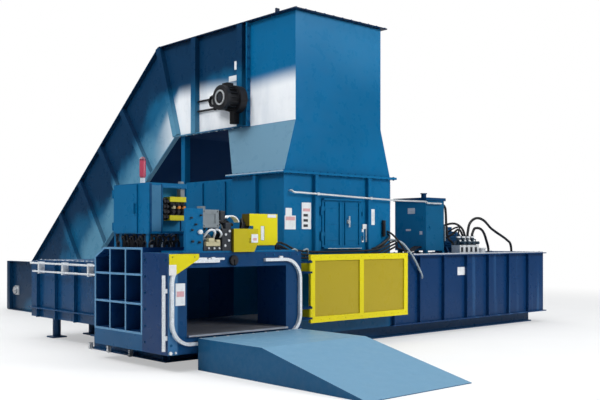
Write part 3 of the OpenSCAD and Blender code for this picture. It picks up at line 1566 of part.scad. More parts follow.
module tank_outline(d) {
    x0 = tank_x0 - d;
    x1 = tank_x0 + tank_w + d;
    y0 = tank_y0 - d;
    y1 = tank_y0 + tank_d + d;
    r = tank_r;
    translate([x0, y0]) square([x1 - x0 - r, y1 - y0]);
    translate([x1 - r - touch, y0 + r]) square([r + touch, y1 - y0 - 2 * r]);
    for (y = [y0 + r, y1 - r])
        translate([x1 - r, y]) circle(r = r);
    translate([x1 - r - touch, y0]) square([touch, y1 - y0]);
}

lid_t = 45;
module reservoir_lid() {
    color(blue) place() {
        translate([0, 0, tank_z1 - lid_t]) linear_extrude(lid_t) tank_outline(22);
        rod_z_at(tank_z1, tank_z1 + 60, tank_x0 + 90, tank_y0 + 120, 42);
        rod_z_at(tank_z1 + 60, tank_z1 + 75, tank_x0 + 90, tank_y0 + 120, 55);
    }
}

module oil_reservoir() {
    color(blue) place() {
        difference() {
            translate([0, 0, tank_z0]) linear_extrude(tank_h - lid_t) tank_outline(0);
            translate([0, 0, tank_z0 + sheet_t]) linear_extrude(tank_h) tank_outline(-sheet_t);
        }
        for (x = [tank_x0 + 30, tank_x0 + tank_w - 90], y = [tank_y0 + 30, tank_y0 + tank_d - 90])
            span([x, y, unit_z], [x + 60, y + 60, tank_z0]);
        rod_y(tank_y0 - 14, tank_y0, tank_x0 + 110, tank_z0 + tank_h * 0.45, 26);
        span([tank_x0 - 14, tank_y0 + 60, tank_z0 + 500], [tank_x0, tank_y0 + 110, tank_z0 + 560]);
    }
}

unit_x = tank_x0 + tank_w;
pump_y = tank_y0 + 420;
pump_z = unit_z + 60 + motor_r;
motor_x0 = unit_x + 330;
module pump_motor() {
    x1 = motor_x0 + motor_l;
    fins = 20;
    color(deep_blue) place() {
        rod_x(motor_x0, x1 - 60, pump_y, pump_z, motor_r * 0.9);
        rod_x(x1 - 90, x1, pump_y, pump_z, motor_r);
        for (i = [0:fins - 1])
            translate([0, pump_y, pump_z]) rotate([360 * i / fins, 0, 0])
                span([motor_x0 + 30, motor_r * 0.8, -4], [x1 - 80, motor_r, 4]);
        rod_x(motor_x0 - 40, motor_x0, pump_y, pump_z, motor_r * 1.05);
        rod_x(motor_x0 - 190, motor_x0 - 40, pump_y, pump_z, motor_r * 0.6);
        rod_x(motor_x0 - 250, motor_x0 - 190, pump_y, pump_z, motor_r * 0.42);
        rod_x(unit_x, motor_x0 - 250, pump_y, pump_z, pipe_r * 2);
        span([motor_x0 + 90, pump_y - 70, pump_z + motor_r * 0.7],
            [motor_x0 + 250, pump_y + 70, pump_z + motor_r * 1.5]);
        for (x = [motor_x0 + 50, x1 - 120])
            along_x(x, 40) polygon([[pump_y - 150, unit_z], [pump_y + 150, unit_z],
                [pump_y + 80, pump_z - motor_r * 0.5],
                [pump_y - 80, pump_z - motor_r * 0.5]]);
    }
}

block_x0 = unit_x + 60;
block_y0 = front_y + 110;
block_w = 520;
block_z1 = unit_z + 130;
// A drilled aluminium block with cartridge valves on it
module valve_manifold() {
    color(silver) place() {
        span([block_x0, block_y0, unit_z], [block_x0 + block_w, block_y0 + 170, block_z1]);
    }
    color(blue) place() {
        for (i = [0:3]) {
            x = block_x0 + 70 + i * 125;
            span([x - 45, block_y0 + 40, block_z1],
                [x + 45, block_y0 + 130, block_z1 + 70 + 30 * (i % 2)]);
            rod_z_at(block_z1 + 70, block_z1 + 150, x, block_y0 + 85, 34);
            rod_y(block_y0 - 50, block_y0 + 40, x, block_z1 + 35, 26);
        }
        rod_z_at(unit_z, unit_z + 60, block_x0 + block_w + 190, block_y0 + 90, 70);
        rod_z_at(unit_z + 60, unit_z + 80, block_x0 + block_w + 190, block_y0 + 90, 82);
    }
}

// Hoses, each on a round route from fitting to fitting
valve_z = block_z1 + 150;
valve_y = block_y0 + 85;
tier_hose_y = front_y - charge_rib_d - pipe_r - gap;
module hydraulic_hoses() {
    v2 = block_x0 + 70 + 2 * 125;
    v3 = block_x0 + 70 + 3 * 125;
    v0 = block_x0 + 70;
    hose_drop = 320;
    x_front = charge_x1 - hose_drop;
    color(black) place() {
        swept_tube([[v2, valve_y, valve_z], [v2, valve_y, valve_z + 20], [v2, valve_y, valve_z + 40],
            [v2 + 60, valve_y, valve_z + 210], [v2 + 260, valve_y + 20, valve_z + 300],
            [v2 + 560, valve_y + 80, valve_z + 270], [v2 + 900, valve_y + 160, valve_z + 130],
            [port_x - 70, ram_y - 10, unit_z + 170], [port_x, ram_y, unit_z + 60],
                [port_x, ram_y, unit_z - 80],
            [port_x, ram_y, rod_z + bore_r + tube_t + 40]], hose_r);
        swept_tube([[v3, valve_y, valve_z], [v3, valve_y, valve_z + 15], [v3, valve_y, valve_z + 30],
            [v3 + 120, valve_y + 30, valve_z + 130], [v3 + 420, valve_y + 90, valve_z + 90],
            [v3 + 680, valve_y + 170, unit_z + 120], [v3 + 700, valve_y + 170, unit_z + 50],
            [v3 + 700, valve_y + 170, unit_z + 25], [v3 + 700, valve_y + 170, unit_z]], hose_r);
        swept_tube([[unit_x, tank_y0 + 240, tank_z0 + 150], [unit_x + 20, tank_y0 + 240, tank_z0 + 150],
            [unit_x + 40, tank_y0 + 240, tank_z0 + 150], [unit_x + 110, tank_y0 + 150, tank_z0 + 260],
            [v0 + 60, valve_y + 40, valve_z + 150], [v0, valve_y, valve_z + 40],
                [v0, valve_y, valve_z + 20],
            [v0, valve_y, valve_z]], pipe_r);
        for (i = [0:2]) {
            z = floor_z + bale_h + 60 + i * 45;
            y = tier_hose_y;
            y_bed = front_y - 200 + 40 * i;
            y_tank = tank_y0 + 100 + 50 * i;
            swept_tube([[bed_x1 - 40, y_bed, bed_z], [bed_x1 - 40, y_bed, bed_z + 25],
                [bed_x1 - 40, y_bed, bed_z + 50],
                [charge_x - 120, y, z + 130], [charge_x + 200, y, z + 20], [charge_x + 1000, y, z],
                [x_front, y, z + 30], [charge_x1 + 60, y + 20, z + 150],
                    [charge_x1 + 300, front_y + 120, unit_z + 90],
                [charge_x1 + 700, front_y + 200 + 40 * i, unit_z + 40],
                    [tank_x0 - 60, y_tank, tank_z0 + 60],
                [tank_x0 - 30, y_tank, tank_z0 + 60], [tank_x0, y_tank, tank_z0 + 60]], pipe_r, 3);
        }
    }
}

module conduit() {
    r = 13;
    x0 = charge_x + 100;
    y = front_y - charge_rib_d - r - gap;
    z = charge_z - 270;
    fall = 50;
    z1 = z - fall;
    bend_y = front_y - 20;
    tank_y = tank_y0 - 45;
    x1 = tank_x0 + tank_w - tank_r - 60;
    color(silver) place() {
        swept_tube([[x0, front_y, z + 25], [x0, bend_y, z + 25], [x0, bend_y - 20, z + 25],
            [x0 + 30, y, z],
            [x0 + 100, y, z], [charge_x1, y, z1], [tank_x0 - 400, tank_y - 270, z1 + 5],
            [tank_x0 - 60, tank_y - 10, z1 + 5], [tank_x0 + 60, tank_y, z1], [x1 - 60, tank_y, z1],
            [x1 - 12, tank_y + 8, z1], [x1, tank_y + 25, z1], [x1, tank_y0 - 8, z1], [x1, tank_y0, z1]],
                r, 3);
        for (x = box_rib_x) {
            clip_z = z - fall * (x - x0 - 100) / (charge_x1 - x0 - 100);
            span([x - 20, y - r - 6, clip_z - r - 6], [x + 20, y - r - gap, clip_z + r + 6]);
        }
    }
}

// Electrical box on the chamber roof, with the valve bank in its front bay

elec_x0 = end_x + 110;
elec_y0 = front_y + plate_t;
elec_z0 = roof_z + elec_lift;
elec_z1 = elec_z0 + elec_h;
elec_x1 = elec_x0 + elec_w;
door_y0 = elec_y0 + 240;
elec_t = 4;

module electrical_box() {
    bay_x0 = elec_x1 - bay_w;
    color(blue) place() {
        difference() {
            span([elec_x0, elec_y0, elec_z0], [elec_x1, elec_y0 + elec_d, elec_z1]);
            span([bay_x0, elec_y0 - touch, elec_z0 + 30],
                [elec_x1 + touch, elec_y0 + bay_d, elec_z1 - 40]);
            span([elec_x0 - touch, door_y0 + 30, elec_z0 + 30],
                [elec_x1 - elec_t, elec_y0 + elec_d - 30, elec_z1 - 30]);
        }
        for (x = [elec_x0 + 20, elec_x1 - 80], y = [elec_y0 + 40, elec_y0 + elec_d - 160])
            span([x, y, x < -half ? roof_z : tunnel_z + plate_t], [x + 60, y + 60, elec_z0]);
        for (z = [elec_z0 + 60, elec_z1 - 60 - 80])
            rod_z_at(z - 10, z + 80, elec_x0 - elec_hinge_r - 2, elec_y0 + elec_d - 5, elec_pin_r);
        for (z = [elec_z0 + 60 - 20, elec_z1 - 60 - 80 - 20]) {
            rod_z_at(z, z + 20 - gap, elec_x0 - elec_hinge_r - 2, elec_y0 + elec_d - 5, elec_hinge_r);
            span([elec_x0 - elec_hinge_r - 2, elec_y0 + elec_d - 5 - elec_hinge_r, z],
                [elec_x0, elec_y0 + elec_d, z + 20 - gap]);
        }
    }
}

elec_hinge_r = 12;
elec_pin_r = 6;
module electrical_door() {
    t = 18;
    x1 = elec_x0 - gap;
    y1 = elec_y0 + elec_d - 26;
    color(blue) place() difference() {
        union() {
            span([x1 - t, door_y0, elec_z0 + 12], [x1, y1, elec_z1 - 12]);
            for (z = [elec_z0 + 60, elec_z1 - 60 - 80]) {
                rod_z_at(z, z + 76, elec_x0 - elec_hinge_r - 2, elec_y0 + elec_d - 5, elec_hinge_r);
                span([x1 - t, y1 - 20, z], [x1 - 2, elec_y0 + elec_d - 5 - elec_hinge_r / 2, z + 76]);
            }
            span([x1 - t - 26, door_y0 + 30, (elec_z0 + elec_z1) / 2 - 60],
                [x1 - t, door_y0 + 52, (elec_z0 + elec_z1) / 2 + 60]);
        }
        for (z = [elec_z0 + 60, elec_z1 - 60 - 80])
            rod_z_at(z - touch, z + 77, elec_x0 - elec_hinge_r - 2, elec_y0 + elec_d - 5,
                elec_pin_r + run_gap);
    }
}

// Two rows of solenoid valves between yellow rails, in the electrical box's front bay
module valve_bank() {
    x0 = elec_x1 - bay_w + 110;
    x1 = elec_x1;
    y0 = elec_y0 + 20;
    y1 = elec_y0 + bay_d;
    z_mid = (elec_z0 + elec_z1) / 2 - 10;
    color(yellow) place() {
        for (z = [z_mid - 130, z_mid + 90])
            span([x0, y0 - 10, z], [x1, y1, z + 62]);
    }
    color(black) place() {
        for (i = [0:2]) {
            x = x0 + 20 + i * 72;
            span([x, y0 + 10, z_mid - 68], [x + 56, y1, z_mid + 90]);
            rod_y(y0 - 22, y0 + 10, x + 28, z_mid + 45, 22);
            rod_y(y0 - 22, y0 + 10, x + 28, z_mid - 25, 22);
        }
    }
}

module beacon() {
    x = elec_x0 + 120;
    y = elec_y0 + 330;
    color(white) place() rod_z_at(elec_z1, elec_z1 + 90, x, y, beacon_r * 0.8);
    color(black) place() rod_z_at(elec_z1 + 90, elec_z1 + 150, x, y, beacon_r);
    color([0.72, 0.06, 0.12]) place() {
        rod_z_at(elec_z1 + 150, elec_z1 + 300, x, y, beacon_r);
        translate([x, y, elec_z1 + 300]) cylinder(h = 26, r1 = beacon_r, r2 = beacon_r * 0.55);
    }
}

base_frame();
feet();
floor_liner();
bale_chamber();
charging_box();
shear_blade();
access_door_left();
access_door_right();
door_handle();
hopper();
conveyor_frame_left();
conveyor_frame_right();
skirt_left();
skirt_right();
conveyor_pan();
conveyor_legs();
slat_belt();
head_shaft();
tail_shaft();
shaft_bearings();
takeup_rods();
drive_reducer();
drive_motor();
ram_housing();
housing_cover();
main_cylinder();
main_rod();
main_ram();
ram_blade();
ejector_housing();
ejector_cylinder();
ejector_rod();
ejector_platen();
ejector_pipes();
tier_frame();
wire_track();
guide_tube();
corner_guard();
tier_bed();
twister_body();
twister_pinion();
feed_wheel();
pinch_wheel();
feed_motors();
wire_hood();
tier_cover_left();
tier_cover_right();
guard_hinges();
guard_door();
ramp();
oil_reservoir();
reservoir_lid();
pump_motor();
valve_manifold();
hydraulic_hoses();
conduit();
electrical_box();
electrical_door();
valve_bank();
beacon();
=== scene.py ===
import math

import bmesh
import bpy
from mathutils import Matrix, Vector


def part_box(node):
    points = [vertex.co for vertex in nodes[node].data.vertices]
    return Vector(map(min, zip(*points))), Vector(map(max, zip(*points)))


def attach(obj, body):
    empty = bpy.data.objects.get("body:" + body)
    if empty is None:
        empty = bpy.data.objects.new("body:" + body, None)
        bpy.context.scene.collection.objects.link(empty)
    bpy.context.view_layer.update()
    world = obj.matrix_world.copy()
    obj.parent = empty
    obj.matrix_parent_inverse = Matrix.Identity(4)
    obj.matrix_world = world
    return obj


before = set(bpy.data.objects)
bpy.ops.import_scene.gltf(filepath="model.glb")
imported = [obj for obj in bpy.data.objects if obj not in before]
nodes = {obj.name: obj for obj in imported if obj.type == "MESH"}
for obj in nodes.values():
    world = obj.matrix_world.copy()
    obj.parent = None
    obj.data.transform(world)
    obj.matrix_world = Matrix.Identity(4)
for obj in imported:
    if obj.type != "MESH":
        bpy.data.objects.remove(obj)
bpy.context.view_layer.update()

root = "machine"
scene = bpy.context.scene

# Working axes, as in the part's source: X from the middle of the bale exit, Y from the tier's front
tierLow, tierHigh = (Vector(corner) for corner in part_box("tier_frame"))
origin = Vector(((tierLow.x + tierHigh.x) / 2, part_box("floor_liner")[0][1], 0))


def at(x, y, z):
    return Vector((x, y, z)) + origin


def low(node):
    return Vector(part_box(node)[0]) - origin


def high(node):
    return Vector(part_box(node)[1]) - origin


# Places that many pieces share. The conveyor's flanges, the tier bed's panel and the tank's lug stand out
flangeOut, bedPanel, tankLug = 0.08, 0.49, 0.014
box = {"left": 1.17, "right": 3.27, "front": 0.57, "back": 1.68, "top": high("charging_box").z}
chute = {
    "left": low("conveyor_frame_left").x + flangeOut, "right": high("conveyor_frame_right").x - flangeOut,
    "bottom": high("conveyor_legs").z, "top": high("hopper").z - 0.06, "seam": 1.55,
}
conveyor = {"knee": 3.32, "rise": math.tan(math.radians(37.5))}
housingEnd = high("ram_housing").x
unitTop = high("housing_cover").z
bedTop = high("tier_bed").z - bedPanel
tankLeft = low("oil_reservoir").x + tankLug
tierFace = 0.04


# Node trees are laid by a small builder: for materials, bolts and the studio's world

class Tree:
    def __init__(self, tree):
        self.nodes, self.links = tree.nodes, tree.links

    def new(self, kind, inputs=None, **settings):
        node = self.nodes.new(kind)
        for key, value in settings.items():
            setattr(node, key, value)
        for key, value in (inputs or {}).items():
            self.feed(node.inputs[key], value)
        return node

    def feed(self, socket, value):
        if isinstance(value, bpy.types.NodeSocket):
            self.links.new(value, socket)
        else:
            socket.default_value = value

    def calc(self, operation, a, b):
        return self.new("ShaderNodeMath", {0: a, 1: b}, operation=operation).outputs[0]

    def times(self, product, *factors):
        for factor in factors:
            product = self.calc("MULTIPLY", product, factor)
        return product


# Materials: every one works on Object coordinates
class Paint(Tree):
    def __init__(self, name):
        self.material = bpy.data.materials.new(name)
        self.material.use_nodes = True
        super().__init__(self.material.node_tree)
        self.shader = self.nodes["Principled BSDF"]
        coordinates = self.nodes.new("ShaderNodeTexCoord")
        self.place = coordinates.outputs["Object"]
        self.facing = coordinates.outputs["Normal"]

    def noise(self, scale, detail=4.0, roughness=0.55, stretch=None, distortion=0.0):
        place = self.place
        if stretch:
            place = self.new("ShaderNodeMapping", {"Vector": place, "Scale": stretch}).outputs["Vector"]
        inputs = {"Vector": place, "Scale": scale, "Detail": detail, "Roughness": roughness,
                  "Distortion": distortion}
        return self.new("ShaderNodeTexNoise", inputs).outputs["Fac"]

    def span(self, value, fromLow, fromHigh, toLow=0.0, toHigh=1.0):
        inputs = {"Value": value, "From Min": fromLow, "From Max": fromHigh, "To Min": toLow,
                  "To Max": toHigh}
        return self.new("ShaderNodeMapRange", inputs, interpolation_type="SMOOTHSTEP").outputs["Result"]

    # A value that strays down and up with some noise
    def stray(self, value, noise, down, up):
        return self.calc("ADD", value, self.span(noise, 0.3, 0.7, -down, up))

    def mix(self, factor, a, b):
        node = self.new("ShaderNodeMix", data_type="RGBA")
        self.feed(node.inputs[0], factor)
        for socket, value in ((node.inputs[6], a), (node.inputs[7], b)):
            self.feed(socket, (*value, 1) if isinstance(value, tuple) else value)
        return node.outputs[2]

    # Lays each accent, a mask and its colour, over the tone
    def accented(self, tone, accents):
        for mask, accent in accents:
            tone = self.mix(mask(self), tone, accent)
        return tone

    def axis(self, letter, source=None):
        return self.new("ShaderNodeSeparateXYZ", {"Vector": source or self.place}).outputs[letter]

    # 1 between two places along an axis, given in the working axes
    def within(self, letter, start, end, soft=0.003):
        shift = getattr(origin, letter.lower())
        along = self.axis(letter)
        rise = self.span(along, start + shift - soft, start + shift)
        fall = self.span(along, end + shift, end + shift + soft, 1.0, 0.0)
        return self.times(rise, fall)

    # 1 on faces turned along an axis
    def turned(self, letter, sign):
        return self.span(self.times(self.axis(letter, self.facing), sign), 0.4, 0.8)

    def bump(self, height, strength, distance=0.002):
        node = self.new("ShaderNodeBump", {"Height": height, "Strength": strength, "Distance": distance})
        self.feed(self.shader.inputs["Normal"], node.outputs["Normal"])

    def finish(self, color, roughness, **constants):
        self.feed(self.shader.inputs["Base Color"], color)
        self.feed(self.shader.inputs["Roughness"], roughness)
        for name, value in constants.items():
            self.shader.inputs[name.replace("_", " ")].default_value = value
        return self.material


def tint(color, factor):
    return tuple(min(1.0, channel * factor) for channel in color)


# Machine enamel: slightly cloudy, with faint runs and scratches, and dust near the floor
def machineEnamel(name, color, accents=(), marks=0.07, dustLevel=0.05, dust=(0.16, 0.18, 0.18), rough=0.3,
                  shine=0.13):
    t = Paint(name)
    clouds = t.noise(0.7)
    tone = t.mix(t.span(clouds, 0.3, 0.7), tint(color, 0.92), tint(color, 1.08))
    tone = t.accented(tone, accents)
    runs = t.noise(2.2, 6.0, 0.7, stretch=(3.0, 3.0, 0.3))
    tone = t.mix(t.span(runs, 0.6, 0.85, 0.0, marks * 2), tone, tint(color, 0.6))
    scratches = t.noise(48.0, 3.0, 0.5, stretch=(0.3, 0.3, 5.0))
    tone = t.mix(t.span(scratches, 0.71, 0.77, 0.0, marks), tone, tint(tuple(c + 0.05 for c in color), 1.7))
    grains = t.noise(14.0, 8.0, 0.72)
    lowDust = t.span(t.axis("Z"), 0.7, 0.0, 0.0, dustLevel)
    dustMask = t.times(lowDust, t.span(grains, 0.35, 0.65))
    tone = t.mix(dustMask, tone, dust)
    t.bump(t.noise(120.0, 2.0, 0.5), 0.06, 0.003)
    polish = t.span(t.noise(7.0, 6.0, 0.6), 0.3, 0.7, rough - 0.05, rough + 0.08)
    return t.finish(tone, t.calc("ADD", polish, dustMask), Specular_IOR_Level=shine, Coat_Weight=shine / 4,
                    Coat_Roughness=0.14, Coat_IOR=1.45)


# Bare plate: rubbed along one direction, with rust bloom where nothing rubs it
def plateSteel(name, color, rustLevel=0.35, stretch=(0.6, 14.0, 14.0), rough=0.32):
    t = Paint(name)
    rust = (0.16, 0.075, 0.035)
    rubbed = t.noise(9.0, 5.0, 0.65, stretch=stretch)
    tone = t.mix(t.span(rubbed, 0.3, 0.7), tint(color, 0.72), tint(color, 1.15))
    bloom = t.noise(3.1, 8.0, 0.7, distortion=0.6)
    rustMask = t.span(bloom, 0.56, 0.74, 0.0, rustLevel)
    tone = t.mix(rustMask, tone, rust)
    roughness = t.calc("ADD", t.span(rubbed, 0.3, 0.7, rough, rough + 0.18), t.times(rustMask, 0.5))
    t.bump(rubbed, 0.18, 0.001)
    t.feed(t.shader.inputs["Metallic"], t.span(rustMask, 0.0, 0.6, 0.9, 0.25))
    return t.finish(tone, roughness)


# Zinc: spangled grains with dull patches
def zincPlate(name, color=(0.66, 0.68, 0.70), rough=0.36, metallic=0.6, accents=()):
    t = Paint(name)
    spangle = t.new("ShaderNodeTexVoronoi", {"Vector": t.place, "Scale": 70.0}, feature="F1")
    grains = spangle.outputs["Distance"]
    tone = t.mix(t.span(grains, 0.0, 0.9), tint(color, 1.1), tint(color, 0.88))
    tone = t.accented(tone, accents)
    dull = t.noise(6.0, 6.0, 0.6)
    tone = t.mix(t.span(dull, 0.5, 0.75, 0.0, 0.5), tone, tint(color, 0.6))
    t.bump(grains, 0.06, 0.001)
    return t.finish(tone, t.span(dull, 0.3, 0.7, rough, rough + 0.22), Metallic=metallic)


# Polished rod: nearly mirror-like, with hair lines round it and an oil film
def hardChrome(name):
    t = Paint(name)
    film = t.noise(5.0, 4.0, 0.5)
    tone = t.mix(t.span(film, 0.4, 0.7), (0.83, 0.84, 0.86), (0.70, 0.71, 0.70))
    t.bump(t.noise(160.0, 2.0, 0.5, stretch=(1.0, 0.2, 0.2)), 0.03, 0.0005)
    return t.finish(tone, t.span(film, 0.3, 0.7, 0.06, 0.16), Metallic=1.0)


# Paint over a sand casting: grainy, greasy in patches
def castPaint(name, accents=()):
    t = Paint(name)
    color = (0.010, 0.010, 0.012)
    grain = t.noise(90.0, 4.0, 0.6)
    grease = t.noise(4.0, 6.0, 0.65)
    tone = t.mix(t.span(grease, 0.4, 0.7), color, tint(color, 2.2))
    tone = t.mix(t.span(grain, 0.6, 0.8, 0.0, 0.3), tone, (0.04, 0.036, 0.034))
    tone = t.accented(tone, accents)
    t.bump(grain, 0.25, 0.002)
    return t.finish(tone, t.span(grease, 0.35, 0.65, 0.34, 0.6), Specular_IOR_Level=0.25)


def mouldedPlastic(name, color):
    t = Paint(name)
    marks = t.noise(9.0, 6.0, 0.7)
    tone = t.mix(t.span(marks, 0.45, 0.75), color, tint(color, 0.78))
    t.bump(t.noise(260.0, 2.0, 0.5), 0.12, 0.0006)
    return t.finish(tone, t.span(marks, 0.3, 0.7, 0.4, 0.56), Specular_IOR_Level=0.35)


# Hose cover: fine cross weave in the rubber, dust on top
def hoseRubber(name, color=(0.010, 0.010, 0.012)):
    t = Paint(name)
    weave = t.new("ShaderNodeTexWave", {"Vector": t.place, "Scale": 60.0, "Distortion": 1.5, "Detail": 2.0},
                  wave_type="BANDS", bands_direction="DIAGONAL")
    dust = t.noise(12.0, 6.0, 0.65)
    tone = t.mix(t.span(dust, 0.5, 0.8, 0.0, 0.4), color, tint(tuple(c + 0.02 for c in color), 1.4))
    t.bump(weave.outputs["Fac"], 0.2, 0.001)
    return t.finish(tone, t.span(dust, 0.3, 0.7, 0.42, 0.62), Specular_IOR_Level=0.3)


# The beacon: a ribbed lens with a dark cap and a pale foot
def lensRed(name):
    t = Paint(name)
    top = high("beacon").z
    lens = {"cap": top - 0.06, "low": top - 0.235, "foot": top - 0.255, "soft": 0.03}
    ribs = t.new("ShaderNodeTexWave", {"Vector": t.place, "Scale": 34.0, "Distortion": 0.0},
                 wave_type="BANDS", bands_direction="Z").outputs["Fac"]
    glass = t.within("Z", lens["low"], lens["cap"], lens["soft"])
    tone = t.mix(glass, (0.045, 0.008, 0.03), (0.42, 0.03, 0.07))
    tone = t.mix(t.span(ribs, 0.2, 0.8, 0.0, 0.3), tone, (0.6, 0.12, 0.2))
    tone = t.mix(t.within("Z", 0.0, lens["foot"]), tone, (0.72, 0.74, 0.76))
    t.bump(ribs, 0.4, 0.002)
    return t.finish(tone, 0.25, Specular_IOR_Level=0.5, Coat_Weight=0.3, Coat_Roughness=0.06)


# Masks for the accents: each is a function of the tree

# Height above the conveyor side's lower edge, which runs level and then down the slope
def sideHeight(t):
    pastKnee = t.calc("MAXIMUM", t.calc("SUBTRACT", t.axis("Y"), conveyor["knee"] + origin.y), 0.0)
    level = t.calc("SUBTRACT", t.axis("Z"), chute["bottom"])
    return t.calc("ADD", level, t.times(pastKnee, conveyor["rise"]))


# Window light low on the left side, with a soft upper border that strays
def paleSide(t):
    light = {"full": 0.46, "gone": 0.74, "start": 0.66, "end": 3.2, "soft": 0.95}
    border = t.stray(sideHeight(t), t.noise(0.45, 1.0, 0.3, stretch=(1.0, 1.0, 0.1)), 0.10, 0.14)
    streaks = t.noise(1.6, 4.0, 0.6, stretch=(1.0, 1.2, 0.4))
    return t.times(
        t.turned("X", -1.0), t.within("X", chute["left"] - 0.01, chute["left"] + 0.02),
        t.span(border, light["full"], light["gone"], 1.0, 0.0),
        t.within("Y", light["start"], light["end"], light["soft"]),
        t.span(streaks, 0.25, 0.6, 0.8, 1.0), t.span(sideHeight(t), 0.0, 0.004))


# Painted shade: the dark edge round the chute's open top, and the upward faces behind the seam darkened
def chuteRimShade(t):
    rim = {"low": 0.022, "full": 0.018, "start": 1.5, "end": 1.6}
    edge = t.span(t.axis("Z"), chute["top"] - rim["low"], chute["top"] - rim["full"])
    behind = t.span(t.axis("Y"), rim["start"] + origin.y, rim["end"] + origin.y)
    return t.calc("MAXIMUM", edge, t.times(behind, t.turned("Z", 1.0)))


# Painted sheen: the flare's faces turned to -X, between the box and the chute, made paler
def flareSideSheen(t):
    return t.times(t.turned("X", -1.0), t.within("Z", box["top"] + 0.03, chute["bottom"] - 0.004))


# Sky light high on the hopper's front
def frontSheen(t):
    sheen = {"start": 3.7, "full": 4.5, "most": 0.8, "stray": 0.25}
    height = t.stray(t.axis("Z"), t.noise(0.5, 1.0, 0.3), sheen["stray"], sheen["stray"])
    return t.times(t.span(height, sheen["start"], sheen["full"], 0.0, sheen["most"]), t.turned("Y", -1.0))


# Painted highlight along the -X face of the flange on the box's top
def flangeHighlight(t):
    return t.times(t.within("Z", box["top"] - 0.001, box["top"] + 0.018), t.turned("X", -1.0))


# The left side's skin and flanges: painted shade high on them and painted light low on them, from the height
# where the accent is gone to where it is full
def bayPart(t, scale, stray, gone, full, start, end, soft):
    height = t.stray(sideHeight(t), t.noise(scale, 3.0, 0.5), stray, stray)
    skin = t.within("X", chute["left"] - 0.12, chute["left"] + 0.02)
    return t.times(t.span(height, gone, full), t.within("Y", start, end, soft), skin)


def bayShade(t):
    return bayPart(t, scale=0.9, stray=0.35, gone=0.75, full=1.25, start=1.56, end=9.8, soft=0.02)


def bayLight(t):
    return bayPart(t, scale=0.8, stray=0.25, gone=0.85, full=0.25, start=3.1, end=7.0, soft=0.8)


# Painted highlight on the rib fronts of the chamber's grid face
def litGridEdges(t):
    face = low("bale_chamber").x
    return t.within("X", face - 0.01, face + 0.004)


# Painted light on the front of the tier frame's left stile
def litLeftStile(t):
    return t.within("X", -1.2, -0.885, 0.03)


# Faces turned to -X: painted shade on the tier frame and the yellow covers, painted light on the tank
def leftFacesShadeAndLight(t):
    return t.turned("X", -1.0)


# Faces turned up: on the ramp paler, partly wear from the bales and partly painted light from above
def wornAndLitTops(t):
    return t.turned("Z", 1.0)


# Pale streaks down one stretch of the ram housing
def pressStreaks(t):
    streaks = {"start": 5.6, "end": 7.3, "soft": 0.6, "most": 0.6}
    bands = t.noise(2.4, 3.0, 0.5, stretch=(2.6, 1.0, 0.12))
    return t.times(t.span(bands, 0.5, 0.66, 0.0, streaks["most"]),
                   t.within("X", streaks["start"], streaks["end"], streaks["soft"]))


# The guard door's sheet, which lies behind its frame
def deepSheet(t):
    back = high("guard_door").y
    return t.within("Y", back - 0.0235, back - 0.0135)


def labelFoot(t):
    return t.times(t.within("Z", bedTop - 0.30, bedTop - 0.150), t.within("X", -1.2, -0.92))


# All of the valve bank but a band along its middle
def railBars(t):
    middle, half = (low("valve_bank").z + high("valve_bank").z) / 2, 0.079
    return t.calc("SUBTRACT", 1.0, t.within("Z", middle - half, middle + half))


def aboveBlock(t):
    return t.within("Z", unitTop + 0.13, unitTop + 1.0)


enamelBlue = machineEnamel("enamelBlue", (0.003, 0.120, 0.280))
# Tier frame: a darker copy of the blue for painted shade, painted light on the left stile, and painted shade
# on its -X faces
enamelTierShadeAndLight = machineEnamel("enamelTierShadeAndLight", (0.006, 0.050, 0.145), accents=[
    (litLeftStile, (0.050, 0.160, 0.330)), (leftFacesShadeAndLight, (0.004, 0.034, 0.120))])
# Darker copy of the blue: painted shade
enamelDeepShade = machineEnamel("enamelDeepShade", (0.004, 0.050, 0.140))
# Near-black, matt copy of the blue: painted shade on the conveyor's underside pan and the guard's hinges
enamelDarkestShade = machineEnamel("enamelDarkestShade", (0.003, 0.026, 0.085), rough=0.75, shine=0.03)
enamelShade = machineEnamel("enamelShade", (0.005, 0.080, 0.200))
# Tank: a darker copy of the blue for painted shade from the box, with its -X faces lighter for painted light
enamelTankShadeAndLight = machineEnamel("enamelTankShadeAndLight", (0.005, 0.095, 0.210), accents=[(leftFacesShadeAndLight, (0.012, 0.200, 0.410))])
# Shared by the chute and the conveyor's side: a painted reflection of window light, and painted shade on the
# rim
sharedAccents = [(paleSide, (0.90, 0.92, 0.94)), (chuteRimShade, (0.003, 0.014, 0.045))]
# The chute's blue, with a painted sheen high on its front, a painted highlight on the box flange, a painted
# sheen on the flare's left face, and the shared painted reflection and rim shade
enamelChute = machineEnamel("enamelChute", (0.002, 0.118, 0.275), accents=[
    (frontSheen, (0.022, 0.175, 0.360)), (flangeHighlight, (0.38, 0.50, 0.60)),
    (flareSideSheen, (0.150, 0.290, 0.400)), *sharedAccents])
# The conveyor's sides: painted shade on the upper bays, painted light on the lower ones, and the shared
# painted reflection and rim shade
enamelSide = machineEnamel("enamelSide", (0.006, 0.105, 0.225), accents=[
    (bayLight, (0.100, 0.275, 0.410)), (bayShade, (0.003, 0.030, 0.080)), *sharedAccents])
# Darker copy of the blue: painted shade in the chamber's bays, with the painted highlight on the ribs
enamelGridShadeAndHighlight = machineEnamel("enamelGridShadeAndHighlight", (0.004, 0.036, 0.130), accents=[(litGridEdges, (0.110, 0.260, 0.430))])
# Darker copy of the blue: painted shade on the ram housing and its cover
enamelPressShade = machineEnamel("enamelPressShade", (0.004, 0.034, 0.115), accents=[
    (pressStreaks, (0.04, 0.13, 0.29))])
